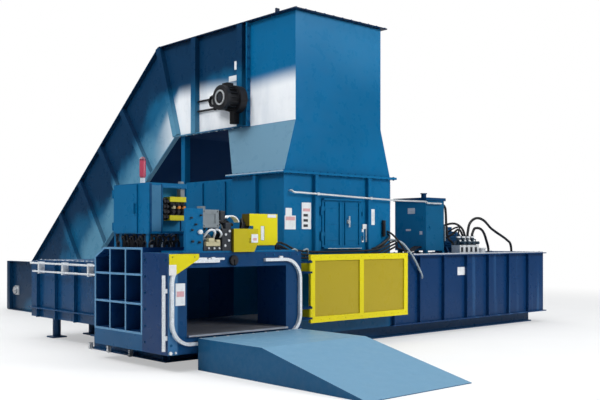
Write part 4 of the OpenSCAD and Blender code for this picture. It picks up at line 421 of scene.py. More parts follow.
# Ramp: its deck paler than its sides, partly wear from the bales and partly painted light from above
rampPaint = machineEnamel("rampPaint", (0.005, 0.075, 0.175), accents=[(wornAndLitTops, (0.140, 0.285, 0.415))],
                          marks=0.2, dustLevel=0.06, dust=(0.30, 0.34, 0.36), rough=0.42)
yellow, yellowDust = (0.72, 0.62, 0.012), (0.3, 0.26, 0.1)
# On the yellow covers the -X faces are darker: painted shade
enamelYellow = machineEnamel("enamelYellow", yellow, marks=0.08, dust=yellowDust,
                             accents=[(leftFacesShadeAndLight, (0.10, 0.075, 0.008))])
enamelAmber = machineEnamel("enamelAmber", (0.52, 0.43, 0.016), marks=0.10, dust=yellowDust,
                            accents=[(leftFacesShadeAndLight, (0.12, 0.09, 0.008))])
cornerYellow = machineEnamel("cornerYellow", yellow, marks=0.08, accents=[(labelFoot, (0.78, 0.76, 0.74))])
guardYellow = machineEnamel("guardYellow", yellow, marks=0.10, dust=yellowDust,
                            accents=[(deepSheet, (0.40, 0.31, 0.022))])
# A brighter copy of the blue: painted light on the panel at the back of the shaded bay
bayLitBlue = machineEnamel("bayLitBlue", (0.020, 0.210, 0.420))
stripBlue = machineEnamel("stripBlue", (0.050, 0.170, 0.300))
wornPlate = plateSteel("wornPlate", (0.50, 0.51, 0.55))
beltSteel = plateSteel("beltSteel", (0.022, 0.050, 0.115), rustLevel=0.12, stretch=(9.0, 0.8, 0.8))
turnedSteel = plateSteel("turnedSteel", (0.58, 0.58, 0.59), rustLevel=0.12, stretch=(0.5, 9.0, 9.0),
                         rough=0.26)
zinc = zincPlate("zinc")
brightZinc = zincPlate("brightZinc", (0.76, 0.79, 0.82), 0.34, 0.3)
blockAlloy = zincPlate("blockAlloy", (0.70, 0.72, 0.73), 0.4, 0.3,
                       accents=[(aboveBlock, (0.012, 0.035, 0.060))])
rodChrome = hardChrome("rodChrome")
castIron = castPaint("castIron")
railPaint = castPaint("railPaint", accents=[(railBars, (0.62, 0.56, 0.015))])
whitePlastic = mouldedPlastic("whitePlastic", (0.76, 0.78, 0.80))
greyPlastic = mouldedPlastic("greyPlastic", (0.20, 0.23, 0.25))
darkPlastic = mouldedPlastic("darkPlastic", (0.018, 0.022, 0.030))
beigePlastic = mouldedPlastic("beigePlastic", (0.52, 0.46, 0.28))
orangePlastic = mouldedPlastic("orangePlastic", (0.70, 0.22, 0.03))
pinkField = mouldedPlastic("pinkField", (0.66, 0.36, 0.38))
hoseBlack = hoseRubber("hoseBlack")
hosePale = hoseRubber("hosePale", (0.30, 0.36, 0.40))
beaconLens = lensRed("beaconLens")

finishes = {
    enamelBlue: ["charging_box", "access_door_left", "access_door_right", "conveyor_legs", "tier_bed",
                 "electrical_box", "electrical_door"],
    enamelChute: ["hopper"],
    enamelSide: ["conveyor_frame_left", "conveyor_frame_right", "skirt_left", "skirt_right"],
    enamelTierShadeAndLight: ["tier_frame"],
    enamelGridShadeAndHighlight: ["bale_chamber"],
    enamelPressShade: ["ram_housing", "housing_cover"],
    enamelTankShadeAndLight: ["oil_reservoir"],
    enamelShade: ["base_frame"],
    enamelDeepShade: ["reservoir_lid", "feet", "main_cylinder", "main_ram", "ejector_housing", "ejector_cylinder",
                 "ejector_platen", "pump_motor"],
    enamelDarkestShade: ["conveyor_pan", "guard_hinges"],
    rampPaint: ["ramp"],
    enamelYellow: ["tier_cover_right"],
    enamelAmber: ["tier_cover_left"],
    cornerYellow: ["corner_guard"],
    guardYellow: ["guard_door"],
    wornPlate: ["floor_liner", "shear_blade", "ram_blade"],
    beltSteel: ["slat_belt"],
    turnedSteel: ["head_shaft", "tail_shaft"],
    zinc: ["door_handle", "shaft_bearings", "conduit"],
    brightZinc: ["wire_track", "guide_tube", "ejector_pipes"],
    rodChrome: ["main_rod", "ejector_rod"],
    castIron: ["pinch_wheel", "twister_pinion", "takeup_rods", "drive_reducer", "drive_motor", "feed_motors"],
    railPaint: ["valve_bank"],
    blockAlloy: ["valve_manifold"],
    whitePlastic: ["wire_hood"],
    greyPlastic: ["feed_wheel", "twister_body"],
    hoseBlack: ["hydraulic_hoses"],
    beaconLens: ["beacon"],
}
for material, names in finishes.items():
    for name in names:
        for slot in nodes[name].material_slots:
            slot.material = material
print("materials on", sum(len(names) for names in finishes.values()), "nodes")


# Mesh helpers

def newObject(name, data):
    made = bpy.data.objects.new(name, data)
    scene.collection.objects.link(made)
    return made


def addPiece(name, mesh, material, body=root, slotName=None):
    for polygon in mesh.polygons:
        polygon.use_smooth = False
    mesh.materials.clear()
    mesh.materials.append(material)
    piece = newObject(name, mesh)
    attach(piece, body)


def fromBmesh(name, bm, material, **rest):
    bmesh.ops.remove_doubles(bm, verts=bm.verts, dist=1e-6)
    bmesh.ops.recalc_face_normals(bm, faces=bm.faces)
    mesh = bpy.data.meshes.new(name)
    bm.to_mesh(mesh)
    bm.free()
    addPiece(name, mesh, material, **rest)


def block(bm, a, b, bevel):
    a, b = at(*a), at(*b)
    size = b - a
    place = Matrix.Translation((a + b) / 2) @ Matrix.Diagonal((*size, 1))
    made = bmesh.ops.create_cube(bm, size=1.0, matrix=place)
    if bevel:
        edges = dict.fromkeys(edge for vert in made["verts"] for edge in vert.link_edges)
        width = min(bevel, min(abs(side) for side in size) * 0.3)
        bmesh.ops.bevel(bm, geom=list(edges), offset=width, segments=2, affect="EDGES", profile=0.7)


def unitCircle(sides):
    angles = [2 * math.pi * k / sides for k in range(sides)]
    return [(math.cos(angle), math.sin(angle)) for angle in angles]


def drum(bm, start, end, radius, sides, rim=0.003):
    start, end = at(*start), at(*end)
    length = (end - start).length
    turn = (end - start).normalized().to_track_quat("Z", "Y").to_matrix().to_4x4()
    place = Matrix.Translation(start) @ turn
    rim = min(rim, length * 0.3, radius * 0.4)
    profile = [(0, 0), (radius - rim, 0), (radius, rim),
               (radius, length - rim), (radius - rim, length), (0, length)]
    loops = []
    for r, height in profile:
        circle = unitCircle(sides) if r else [(0, 0)]
        loops.append([bm.verts.new(place @ Vector((r * x, r * y, height))) for x, y in circle])
    for first, second in zip(loops, loops[1:]):
        for k in range(sides):
            corners = [first[k % len(first)], first[(k + 1) % len(first)],
                       second[(k + 1) % len(second)], second[k % len(second)]]
            bm.faces.new(list(dict.fromkeys(corners)))


# A smooth curve through the points: a cubic between each two, cut into steps
def smoothRoute(points, steps):
    points = [Vector(point) for point in points]
    ends = [2 * points[0] - points[1]] + points + [2 * points[-1] - points[-2]]
    route = []
    for i in range(len(points) - 1):
        a, b, c, d = ends[i:i + 4]
        length = (c - b).length
        start, end = (c - a).normalized() * length, (d - b).normalized() * length
        for k in range(steps):
            s = k / steps
            route.append((2 * s ** 3 - 3 * s * s + 1) * b + (s ** 3 - 2 * s * s + s) * start
                         + (3 * s * s - 2 * s ** 3) * c + (s ** 3 - s * s) * end)
    return route + [points[-1]]


def tube(bm, points, radius, steps=5, sides=10):
    route = smoothRoute([at(*point) for point in points], steps)
    side = None
    rings = []
    for i, point in enumerate(route):
        along = (route[min(i + 1, len(route) - 1)] - route[max(i - 1, 0)]).normalized()
        side = along.orthogonal() if side is None else side - along * side.dot(along)
        side.normalize()
        other = along.cross(side)
        rings.append([bm.verts.new(point + radius * (x * side + y * other)) for x, y in unitCircle(sides)])
    for first, second in zip(rings, rings[1:]):
        for k in range(sides):
            bm.faces.new([first[k], first[(k + 1) % sides], second[(k + 1) % sides], second[k]])
    bm.faces.new(rings[0])
    bm.faces.new(rings[-1])


# One piece of several drums, each from its start, end, radius and number of sides
def drums(name, rows, material):
    bm = bmesh.new()
    for row in rows:
        drum(bm, *row)
    fromBmesh(name, bm, material)


# One piece of several hoses, each from its radius and the points of its route
def tubes(name, routes, material):
    bm = bmesh.new()
    for radius, points in routes:
        tube(bm, points, radius)
    fromBmesh(name, bm, material)


# Points whose heights are counted from a level
def raised(level, points):
    return [(x, y, level + z) for x, y, z in points]


# Bolts and rivets along lines, made by one Geometry Nodes tree

def boltTree():
    # The washer's sides, and its radius and height as shares of the head's
    ratio = {"sides": 14, "radius": 1.45, "height": 0.28}
    group = bpy.data.node_groups.new("boltRow", "GeometryNodeTree")
    kinds = {"Geometry": "Geometry", "Pitch": "Float", "Head Radius": "Float", "Head Height": "Float",
             "Head Sides": "Int", "Facing": "Vector", "Finish": "Material"}
    newSocket = group.interface.new_socket
    sockets = {label: newSocket(name=label, in_out="INPUT", socket_type="NodeSocket" + kind).identifier
               for label, kind in kinds.items()}
    newSocket(name="Geometry", in_out="OUTPUT", socket_type="NodeSocketGeometry")
    t = Tree(group)
    given = t.new("NodeGroupInput").outputs
    radius, height = given["Head Radius"], given["Head Height"]
    curve = t.new("GeometryNodeMeshToCurve", {"Mesh": given["Geometry"]}).outputs["Curve"]
    spaced = t.new("GeometryNodeResampleCurve", {"Curve": curve, "Length": given["Pitch"]}, mode="LENGTH")

    def disc(sides, radius, depth):
        shape = t.new("GeometryNodeMeshCylinder", {"Vertices": sides, "Radius": radius, "Depth": depth},
                      fill_type="NGON").outputs["Mesh"]
        lift = t.new("ShaderNodeCombineXYZ", {"Z": t.times(depth, 0.5)}).outputs["Vector"]
        return t.new("GeometryNodeTransform", {"Geometry": shape, "Translation": lift}).outputs["Geometry"]

    bolt = t.new("GeometryNodeJoinGeometry", {"Geometry": disc(given["Head Sides"], radius, height)})
    washer = disc(ratio["sides"], t.times(radius, ratio["radius"]), t.times(height, ratio["height"]))
    t.feed(bolt.inputs["Geometry"], washer)
    turn = t.new("FunctionNodeAlignRotationToVector", {"Vector": given["Facing"]}, axis="Z")
    placed = t.new("GeometryNodeInstanceOnPoints", {
        "Points": spaced.outputs["Curve"], "Instance": bolt.outputs["Geometry"],
        "Rotation": turn.outputs["Rotation"]}).outputs["Instances"]
    real = t.new("GeometryNodeRealizeInstances", {"Geometry": placed}).outputs["Geometry"]
    painted = t.new("GeometryNodeSetMaterial", {"Geometry": real, "Material": given["Finish"]})
    t.new("NodeGroupOutput", {"Geometry": painted.outputs["Geometry"]})
    return group, sockets


boltRow, boltSockets = boltTree()


def bolts(name, lines, facing, material, pitch, radius, height, sides=6, body=root):
    guide = bpy.data.meshes.new(name + "Guide")
    points = [at(*point) for line in lines for point in line]
    guide.from_pydata(points, [(2 * i, 2 * i + 1) for i in range(len(lines))], [])
    holder = newObject(name + "Guide", guide)
    modifier = holder.modifiers.new("bolts", "NODES")
    modifier.node_group = boltRow
    values = {"Pitch": pitch, "Head Radius": radius, "Head Height": height, "Head Sides": sides,
              "Facing": facing, "Finish": material}
    for label, value in values.items():
        modifier[boltSockets[label]] = value
    bpy.context.view_layer.update()
    shown = holder.evaluated_get(bpy.context.evaluated_depsgraph_get())
    mesh = bpy.data.meshes.new_from_object(shown)
    bpy.data.objects.remove(holder)
    addPiece(name, mesh, material, body)


# Rows of bolts, each from the two coordinates that stay the same along it
def uprights(places, bottom, top):
    return [((x, y, bottom), (x, y, top)) for x, y in places]


def alongX(places, left, right):
    return [((left, y, z), (right, y, z)) for y, z in places]


def alongY(places, front, back):
    return [((x, front, z), (x, back, z)) for x, z in places]


def placeBolts():
    up, down, forward, leftward = (0, 0, 1), (0, 0, -1), (0, -1, 0), (-1, 0, 0)
    left, right, front, back, top = box.values()
    out, half, inset = 0.035, 0.016, 0.1
    flanges = (("boxFlangeBolts", top + half, up, (left - out, right + out)),
               ("boxFlangeNuts", top - half, down, (left - out,)))
    for name, z, facing, sides in flanges:
        bolts(name, alongX([(front - out, z)], left=left - out, right=right + out)
              + alongY([(x, z) for x in sides], front=front + inset, back=back),
              facing, enamelShade, pitch=0.13, radius=0.013, height=0.011)
    columns = (chute["left"] - out, chute["right"] + out)
    seam = [(x, chute["seam"] - half) for x in columns]
    bolts("chuteSeamBolts", uprights(seam, bottom=chute["bottom"] + 0.06, top=chute["top"] - 0.06),
          forward, enamelShade, pitch=0.15, radius=0.014, height=0.012)
    bolts("chuteTopBolts", alongX([(0.52, chute["top"])], left=columns[0], right=columns[1])
          + alongY([(columns[0], chute["top"])], front=0.62, back=chute["seam"] - 0.08),
          up, enamelShade, pitch=0.16, radius=0.012, height=0.01)
    cover = {"count": 3, "edge": 0.035}
    step = (housingEnd - right) / cover["count"]
    edges = [(y, unitTop) for y in (front + cover["edge"], back - cover["edge"])]
    starts = [right + i * step for i in range(cover["count"])]
    bolts("coverBolts", [row for x in starts for row in alongX(edges, left=x + 0.06, right=x + step - 0.07)],
          up, zinc, pitch=0.17, radius=0.013, height=0.01)
    bolts("postBolts", uprights([(1.235, front), (1.385, front)], bottom=0.46, top=1.14),
          forward, castIron, pitch=0.135, radius=0.017, height=0.014)
    bolts("tierFaceBolts", uprights([(-0.955, tierFace)], bottom=0.30, top=0.98)
          + uprights([(0.985, tierFace)], bottom=0.42, top=1.2)
          + alongX([(tierFace, 1.295)], left=0.42, right=0.94),
          forward, enamelShade, pitch=0.115, radius=0.011, height=0.009)
    bolts("tierSideBolts", uprights([(-1.0, 0.09), (-1.0, 0.52)], bottom=0.30, top=1.25),
          leftward, enamelDeepShade, pitch=0.16, radius=0.013, height=0.01)
    ejector = {"columns": [(-0.565, 1.174), (0.565, 1.174)], "starts": (2.11, 2.81, 3.51), "length": 0.58}
    bolts("ejectorCoverBolts", [row for column in ejector["columns"] for y in ejector["starts"]
                                for row in alongY([column], front=y, back=y + ejector["length"])],
          up, zinc, pitch=0.145, radius=0.012, height=0.01)
    bolts("frameFlangeBolts", alongY([(chute["left"] - 0.04, chute["bottom"])], front=1.7, back=3.25),
          down, zinc, pitch=0.18, radius=0.012, height=0.01)
    bolts("rampRivets", alongX([(-0.03, 0.36)], left=-0.60, right=0.93),
          up, zinc, pitch=0.19, radius=0.012, height=0.004, sides=14)
    bolts("guardRivets", alongX([(0.2605, 0.42), (0.2605, 1.24)], left=1.41, right=3.27),
          forward, enamelYellow, pitch=0.155, radius=0.008, height=0.004, sides=12, body="guard_door")
    print("bolts placed")


placeBolts()


# Plates with nothing but fields of colour on them, strips and small markers

def plates(name, pieces, material=whitePlastic, bevel=0.002, **rest):
    bm = bmesh.new()
    for a, b in pieces:
        block(bm, a, b, bevel)
    fromBmesh(name, bm, material, **rest)


# Plates on a face that looks along -Y, each from its left, right, bottom and top
def facePlates(name, face, spans, material=whitePlastic, thick=0.004, **rest):
    pieces = [((x0, face - thick, z0), (x1, face, z1)) for x0, x1, z0, z1 in spans]
    plates(name, pieces, material, **rest)


# Plates on a face that looks along -X, each from its front, back, bottom and top
def sidePlates(name, face, spans, material=whitePlastic, thick=0.004, **rest):
    pieces = [((face - thick, y0, z0), (face, y1, z1)) for y0, y1, z0, z1 in spans]
    plates(name, pieces, material, **rest)


# Blocks over a level, each from its left, right, front, back, bottom and top
def standing(level, spans):
    return [((x0, y0, level + z0), (x1, y1, level + z1)) for x0, x1, y0, y1, z0, z1 in spans]


def placePlates():
    front = box["front"]
    boxPlates = {
        "tallPlate": (1.185, 1.38, 1.615, 1.80), "tallPlateTop": (1.20, 1.31, 1.80, 1.90),
        "widePlate": (1.49, 1.66, 1.62, 1.98), "rightPlate": (2.80, 2.93, 1.69, 1.92),
        "housingPlate": (4.89, 5.14, 0.90, 1.03),
    }
    for name, span in boxPlates.items():
        facePlates(name, front, [span])
    # The fields of colour stand a little out of their plates
    marks = [(1.52, 1.60, z, z + 0.035) for z in (1.65, 1.72, 1.79)]
    field = {"thick": 0.002, "bevel": 0}
    facePlates("tallPlateField", front - 0.003, [(1.20, 1.365, 1.735, 1.785)], pinkField, **field)
    facePlates("widePlateField", front - 0.003, [(1.51, 1.64, 1.86, 1.90)], pinkField, **field)
    facePlates("widePlateMarks", front - 0.003, marks, darkPlastic, slotName="white", **field)
    facePlates("exitPlate", tierFace, [(-0.90, -0.772, 0.74, 0.99)], thick=0.005)
    facePlates("exitPlateField", tierFace - 0.004, [(-0.885, -0.787, 0.84, 0.90)], pinkField, **field)
    sidePlates("headPlates", chute["left"], [(1.80, 1.90, 3.945, 4.068), (1.80, 2.03, 3.785, 3.865)])
    sidePlates("tankPlates", tankLeft, [
        (1.13, 1.28, 1.895, 1.99), (1.215, 1.32, 1.615, 1.645), (0.975, 1.03, 1.555, 1.61)])
    facePlates("postWearPlate", front, [(1.255, 1.45, 0.42, 1.16)], enamelShade, thick=0.006)
    facePlates("forkedStrip", front, [
        (2.645, 2.682, 1.44, 1.63), (2.735, 2.772, 1.44, 1.63), (2.665, 2.752, 1.63, 1.70)],
        thick=0.02, bevel=0.004)
    facePlates("sillStrip", front - 0.002, [(1.93, 2.60, 1.351, 1.357)], brightZinc, thick=0.058)
    facePlates("housingSill", front + 0.01, [(3.80, housingEnd - 0.02, unitTop - 0.03, unitTop + 0.004)],
               brightZinc, thick=0.018)
    # A bright zinc strip down the box's right edge: painted highlight
    facePlates("rightEdgeHighlight", front + 0.02, [(box["right"] - 0.004, box["right"] + 0.004, 1.42, 2.33)],
               brightZinc, thick=0.026)
    # A tube with two clips that hold it to the box
    x, y, clip = 3.10, front - 0.03, 0.02
    bm = bmesh.new()
    drum(bm, (x, y, 1.52), (x, y, 1.76), radius=0.026, sides=16)
    for z in (1.56, 1.70):
        block(bm, (x - clip, y, z), (x + clip, front, z + clip), bevel=0.002)
    fromBmesh("switchTube", bm, castIron)
    stub = {"x": -0.58, "rows": (1.48, 2.02, 2.50), "half": 0.02, "top": 0.09, "length": 0.05}
    stubs = [(y - stub["half"], y + stub["half"], 0.0, stub["top"]) for y in stub["rows"]]
    sidePlates("skidStubs", stub["x"], stubs, zinc, thick=stub["length"], bevel=0.006)
    # Each foot bolt's X, how far it stands out, its radius and its sides
    z, feet = 0.215, ((-0.97, 0.022, 0.02, 14), (-0.90, 0.016, 0.014, 6))
    drums("tierFootBolts", [((x, tierFace, z), (x, tierFace - out, z), radius, sides)
                            for x, out, radius, sides in feet], whitePlastic)
    print("plates placed")


placePlates()


# Access doors: pressed lines that stop short of the hinges and of the middle

def dressAccessDoors():
    swage = {"y": 0.5557, "out": 0.006, "half": 0.012, "edge": 0.10, "hinge": 0.09, "middle": 0.075}
    ends = {"left": (swage["hinge"], swage["middle"]), "right": (swage["middle"], swage["hinge"])}
    for side, (start, end) in ends.items():
        name = "access_door_" + side
        a, b = low(name), high(name)
        heights = (a.z + swage["edge"], (a.z + b.z) / 2, b.z - swage["edge"])
        spans = [(a.x + start, b.x - end, z - swage["half"], z + swage["half"]) for z in heights]
        facePlates(name + "Swages", swage["y"], spans, enamelBlue, thick=swage["out"], bevel=0.003,
                   body=side + "_access_door")


dressAccessDoors()


# Conveyor drive: a bearing ring and a cap on the motor's fan end

def dressDrive():
    a, b = low("drive_motor"), high("drive_motor")
    x, y, z = a.x, (a.y + b.y) / 2, a.z + 0.175
    ring = {"inner": 0.086, "outer": 0.108, "out": 0.012, "sides": 32}
    circle = unitCircle(ring["sides"])
    bm = bmesh.new()
    for first, second in zip(circle, circle[1:] + circle[:1]):
        corners = [(y + radius * dy, z + radius * dz) for radius, (dy, dz) in (
            (ring["inner"], first), (ring["outer"], first), (ring["outer"], second), (ring["inner"], second))]
        near, far = ([bm.verts.new(at(x - out, *corner)) for corner in corners] for out in (ring["out"], 0))
        for face in (near, far, [near[0], near[3], far[3], far[0]], [near[1], near[2], far[2], far[1]]):
            bm.faces.new(face)
    fromBmesh("bearingRing", bm, zinc)
    cap = {"radius": 0.05, "out": 0.008, "sides": 24}
    drums("fanCap", [((x - cap["out"], y, z), (x, y, z), cap["radius"], cap["sides"])], darkPlastic)


dressDrive()


# Tier head: fittings, wire ways, cables

def dressTierHead():
    # Rollers and bosses on the bed's panel, each a drum with a hub: x, z and radius
    rollers = (
        ("tierRoller", [(-0.55, 1.569, 0.026)], whitePlastic),
        ("tierBosses", [(-0.655, 1.46, 0.013), (-0.56, 1.45, 0.013), (-0.61, 1.655, 0.011),
                        (-0.67, 1.73, 0.011), (-0.54, 1.76, 0.011), (-0.66, 1.59, 0.011)], darkPlastic),
    )
    hub, front, back, hubShare = 0.028, 0.035, 0.07, 0.4
    for name, places, paint in rollers:
        rows = []
        for x, z, radius in places:
            rows.append(((x, front, z), (x, back, z), radius, 20))
            rows.append(((x, hub, z), (x, front, z), radius * hubShare, 12))
        drums(name, rows, paint)
    plates("wireGuideBlock", standing(bedTop, [
        (-0.47, -0.27, 0.045, 0.10, 0.055, 0.105), (-0.44, -0.36, 0.035, 0.09, 0.105, 0.15),
        (-0.33, -0.28, 0.035, 0.09, 0.10, 0.13)]), beigePlastic, bevel=0.006)
    plates("wireGuideBase", standing(bedTop, [
        (-0.50, -0.22, 0.055, 0.13, 0.0, 0.055), (-0.245, -0.11, 0.04, 0.12, 0.0, 0.26),
        (-0.20, -0.12, 0.035, 0.10, 0.26, 0.33), (-0.255, -0.19, 0.06, 0.12, 0.36, 0.47)]),
        darkPlastic, bevel=0.008)
    # Screws in the guide's upright and foot: where their X and Z are, their two ends, radius and sides
    screws = (
        (((-0.21, 0.06), (-0.155, 0.12), (-0.20, 0.19), (-0.145, 0.23)), (0.04, 0.024), 0.015, 14),
        (((-0.44, 0.03), (-0.36, 0.03), (-0.29, 0.03)), (0.055, 0.032), 0.012, 12),
    )
    drums("wireGuideScrews", [((x, y0, bedTop + z), (x, y1, bedTop + z), radius, sides)
                              for places, (y0, y1), radius, sides in screws for x, z in places], zinc)
    tubes("wireLoops", [(0.013, raised(bedTop, points)) for points in (
        [(-0.46, 0.10, 0.17), (-0.445, 0.05, 0.225), (-0.395, 0.04, 0.245), (-0.345, 0.05, 0.22),
         (-0.325, 0.10, 0.16)],
        [(-0.33, 0.10, 0.24), (-0.30, 0.05, 0.245), (-0.255, 0.045, 0.20), (-0.235, 0.10, 0.15)],
    )], whitePlastic)
    near = {"count": 5, "x": -0.24, "pitch": 0.034, "fan": 0.03, "radius": 0.011}
    far = {"count": 4, "x": 0.29, "pitch": 0.03, "fan": 0.02, "drop": 0.03, "radius": 0.014}
    cables = []
    for i in range(near["count"]):
        x, fan = near["x"] + near["pitch"] * i, near["fan"] * i
        cables.append((near["radius"], raised(bedTop, [
            (x, 0.19 + fan, 0.0), (x - 0.02, 0.12, 0.08 + fan), (x + 0.02, 0.08, 0.20 + fan),
            (x + 0.05, 0.10, 0.30), (x + 0.02, 0.22, 0.36), (x + 0.02, 0.34, 0.28), (x + 0.03, 0.40, 0.0)])))
    for i in range(far["count"]):
        x = far["x"] + far["pitch"] * i
        cables.append((far["radius"], raised(bedTop, [
            (x - 0.05, 0.38, 0.0), (x - 0.04, 0.36, 0.16 + far["fan"] * i), (x, 0.33, 0.30),
            (x + 0.03, 0.40, 0.38 - far["drop"] * i), (x + 0.05, 0.47, 0.0)])))
    tubes("tierCables", cables, hoseBlack)
    wall = box["front"]
    tubes("paleHoses", [
        (0.012, [(x0, wall, 1.27), (x0 + 0.04, 0.50, 1.33), (x0 + 0.09, 0.48, 1.35), (x1 - 0.03, 0.50, 1.31),
                 (x1, wall, 1.24)]) for x0, x1 in ((1.20, 1.38), (1.42, 1.57))], hosePale)
    right, left, top = low("tier_cover_right"), low("tier_cover_left"), high("tier_cover_right").z
    label = 0.003
    plates("coverLabels", [
        ((right.x + 0.29, right.y - label, top - 0.045), (right.x + 0.43, right.y, top - 0.005)),
        ((left.x + 0.265, left.y - label, 1.445), (left.x + 0.365, left.y, 1.545))], bevel=0)
    facePlates("coverLabelField", left.y - 0.002, [(left.x + 0.29, left.x + 0.345, 1.47, 1.50)], pinkField,
               thick=0.002, bevel=0)
    facePlates("coverWindow", right.y + 0.005,
               [(right.x + 0.185, right.x + 0.235, right.z + 0.063, right.z + 0.237)], bevel=0.001)
    facePlates("trackBars", tierFace - 0.002, [(-0.62, -0.47, 1.245, 1.275), (-0.45, -0.22, 1.245, 1.27)],
               brightZinc, thick=0.01)
    print("tier head dressed")


dressTierHead()


# Electrical box: strips, the valve bank's plugs and coils, and hoses and fittings on the roof

def dressElectricalBox():
    front, left, right = 0.60, low("electrical_box").x + 0.026, high("electrical_box").x
    bottom, top, roof = 1.55, 2.15, high("bale_chamber").z
    facePlates("boxCornerStrip", front, [(left + 0.03, left + 0.17, bottom + 0.03, top - 0.03)], stripBlue)
    bands = [(left + x0, left + x1, bottom + 0.01, top - 0.01) for x0, x1 in ((0.01, 0.035), (0.165, 0.18))]
    facePlates("boxCornerBand", front, bands, enamelDeepShade, thick=0.006)
    facePlates("bayEdges", front, [
        (left + 0.19, right, top - 0.055, top - 0.035),
        (left + 0.19, right - 0.02, bottom + 0.015, bottom + 0.03)], enamelBlue, thick=0.006)
    plates("bayFitting", standing(top, [
        (right - 0.075, right - 0.015, front + 0.02, front + 0.10, -0.17, -0.06),
        (right - 0.065, right - 0.02, front + 0.03, front + 0.09, 0.0, 0.03)]), greyPlastic, bevel=0.006)
    bankX, bankZ, pitch = low("valve_bank").x, (low("valve_bank").z + high("valve_bank").z) / 2, 0.072
    plugs = standing(bankZ, [(x + 0.032, x + 0.064, front - 0.014, front + 0.03, -0.002, 0.03)
                             for x in (bankX + pitch * i for i in range(3))])
    plates("coilPlugs", plugs[1:], orangePlastic, bevel=0.003)
    plates("coilPlugsPale", plugs[:1], beigePlastic, bevel=0.003)
    back = front + 0.15
    # A plate at the bay's back in brighter blue: painted light in the shaded bay
    facePlates("litBayPanel", back, [(right - 0.338, right - 0.002, bottom + 0.032, top - 0.042)], bayLitBlue,
               thick=0.006, bevel=0)
    coil = {"face": 0.66, "out": 0.03, "stagger": 0.01, "rows": 4, "low": -0.10, "pitch": 0.062,
            "columns": (0.062, 0.018), "radius": 0.021, "sides": 18}
    bm = bmesh.new()
    block(bm, (bankX - 0.085, coil["face"], bankZ - 0.135),
          (bankX, back - 0.006, bankZ + 0.125), bevel=0.004)
    for i in range(coil["rows"]):
        z = bankZ + coil["low"] + coil["pitch"] * i
        tip = coil["face"] - coil["out"] - coil["stagger"] * (i % 2)
        for x in (bankX - column for column in coil["columns"]):
            drum(bm, (x, coil["face"], z), (x, tip, z), coil["radius"], coil["sides"])
    fromBmesh("bayCoils", bm, castIron)

    # A loop of hose on the chamber's roof that starts along X, or along Y when it is turned
    def arch(x, y, peak, turned):
        points = [(0.0, 0.0, 0.0), (0.0, 0.0, peak - 0.03), (0.03, -0.01, peak), (0.06, 0.0, peak - 0.03),
                  (0.062, 0.01, 0.0)]
        return 0.013, [(x + v, y + u, roof + z) if turned else (x + u, y + v, roof + z) for u, v, z in points]

    across = {"count": 11, "x": left + 0.01, "pitch": 0.034, "y": 0.605, "shift": 0.012, "peak": 0.075}
    along = {"count": 14, "x": left + 0.03, "shift": 0.012, "y": 0.69, "pitch": 0.05, "peak": 0.07}
    step = 0.03
    hoses = [arch(across["x"] + across["pitch"] * i, across["y"] + across["shift"] * (i % 3),
                  across["peak"] + step * (i * 2 % 4), False) for i in range(across["count"])]
    hoses += [arch(along["x"] + along["shift"] * (i % 2), along["y"] + along["pitch"] * i,
                   along["peak"] + step * (i * 3 % 4), True) for i in range(along["count"])]
    for x in (left + 0.05 + 0.085 * i for i in range(5)):
        hoses.append((0.011, [(x, 0.625, bottom), (x, 0.62, bottom - 0.05), (x + 0.03, 0.61, bottom - 0.09),
                              (x + 0.05, 0.62, bottom - 0.12), (x + 0.05, 0.63, roof)]))
    tubes("chamberHoses", hoses, hoseBlack)
    fitting = {"count": 6, "x": left + 0.03, "pitch": 0.068, "width": 0.028, "depth": 0.04, "height": 0.03}
    spans = []
    for i in range(fitting["count"]):
        x, height = fitting["x"] + fitting["pitch"] * i, fitting["height"] * (1 + i % 3)
        spans.append((x, x + fitting["width"], front, front + fitting["depth"], 0.0, height))
    fittings = standing(roof, spans)
    plates("chamberFittings", fittings[::2], zinc, bevel=0.005)
    plates("chamberPlugs", fittings[1::2], enamelDeepShade, bevel=0.005)
    print("electrical box dressed")


dressElectricalBox()


# Power unit: gauge, plugs, coils and short hoses, and the pipe and hoses at the box's corner

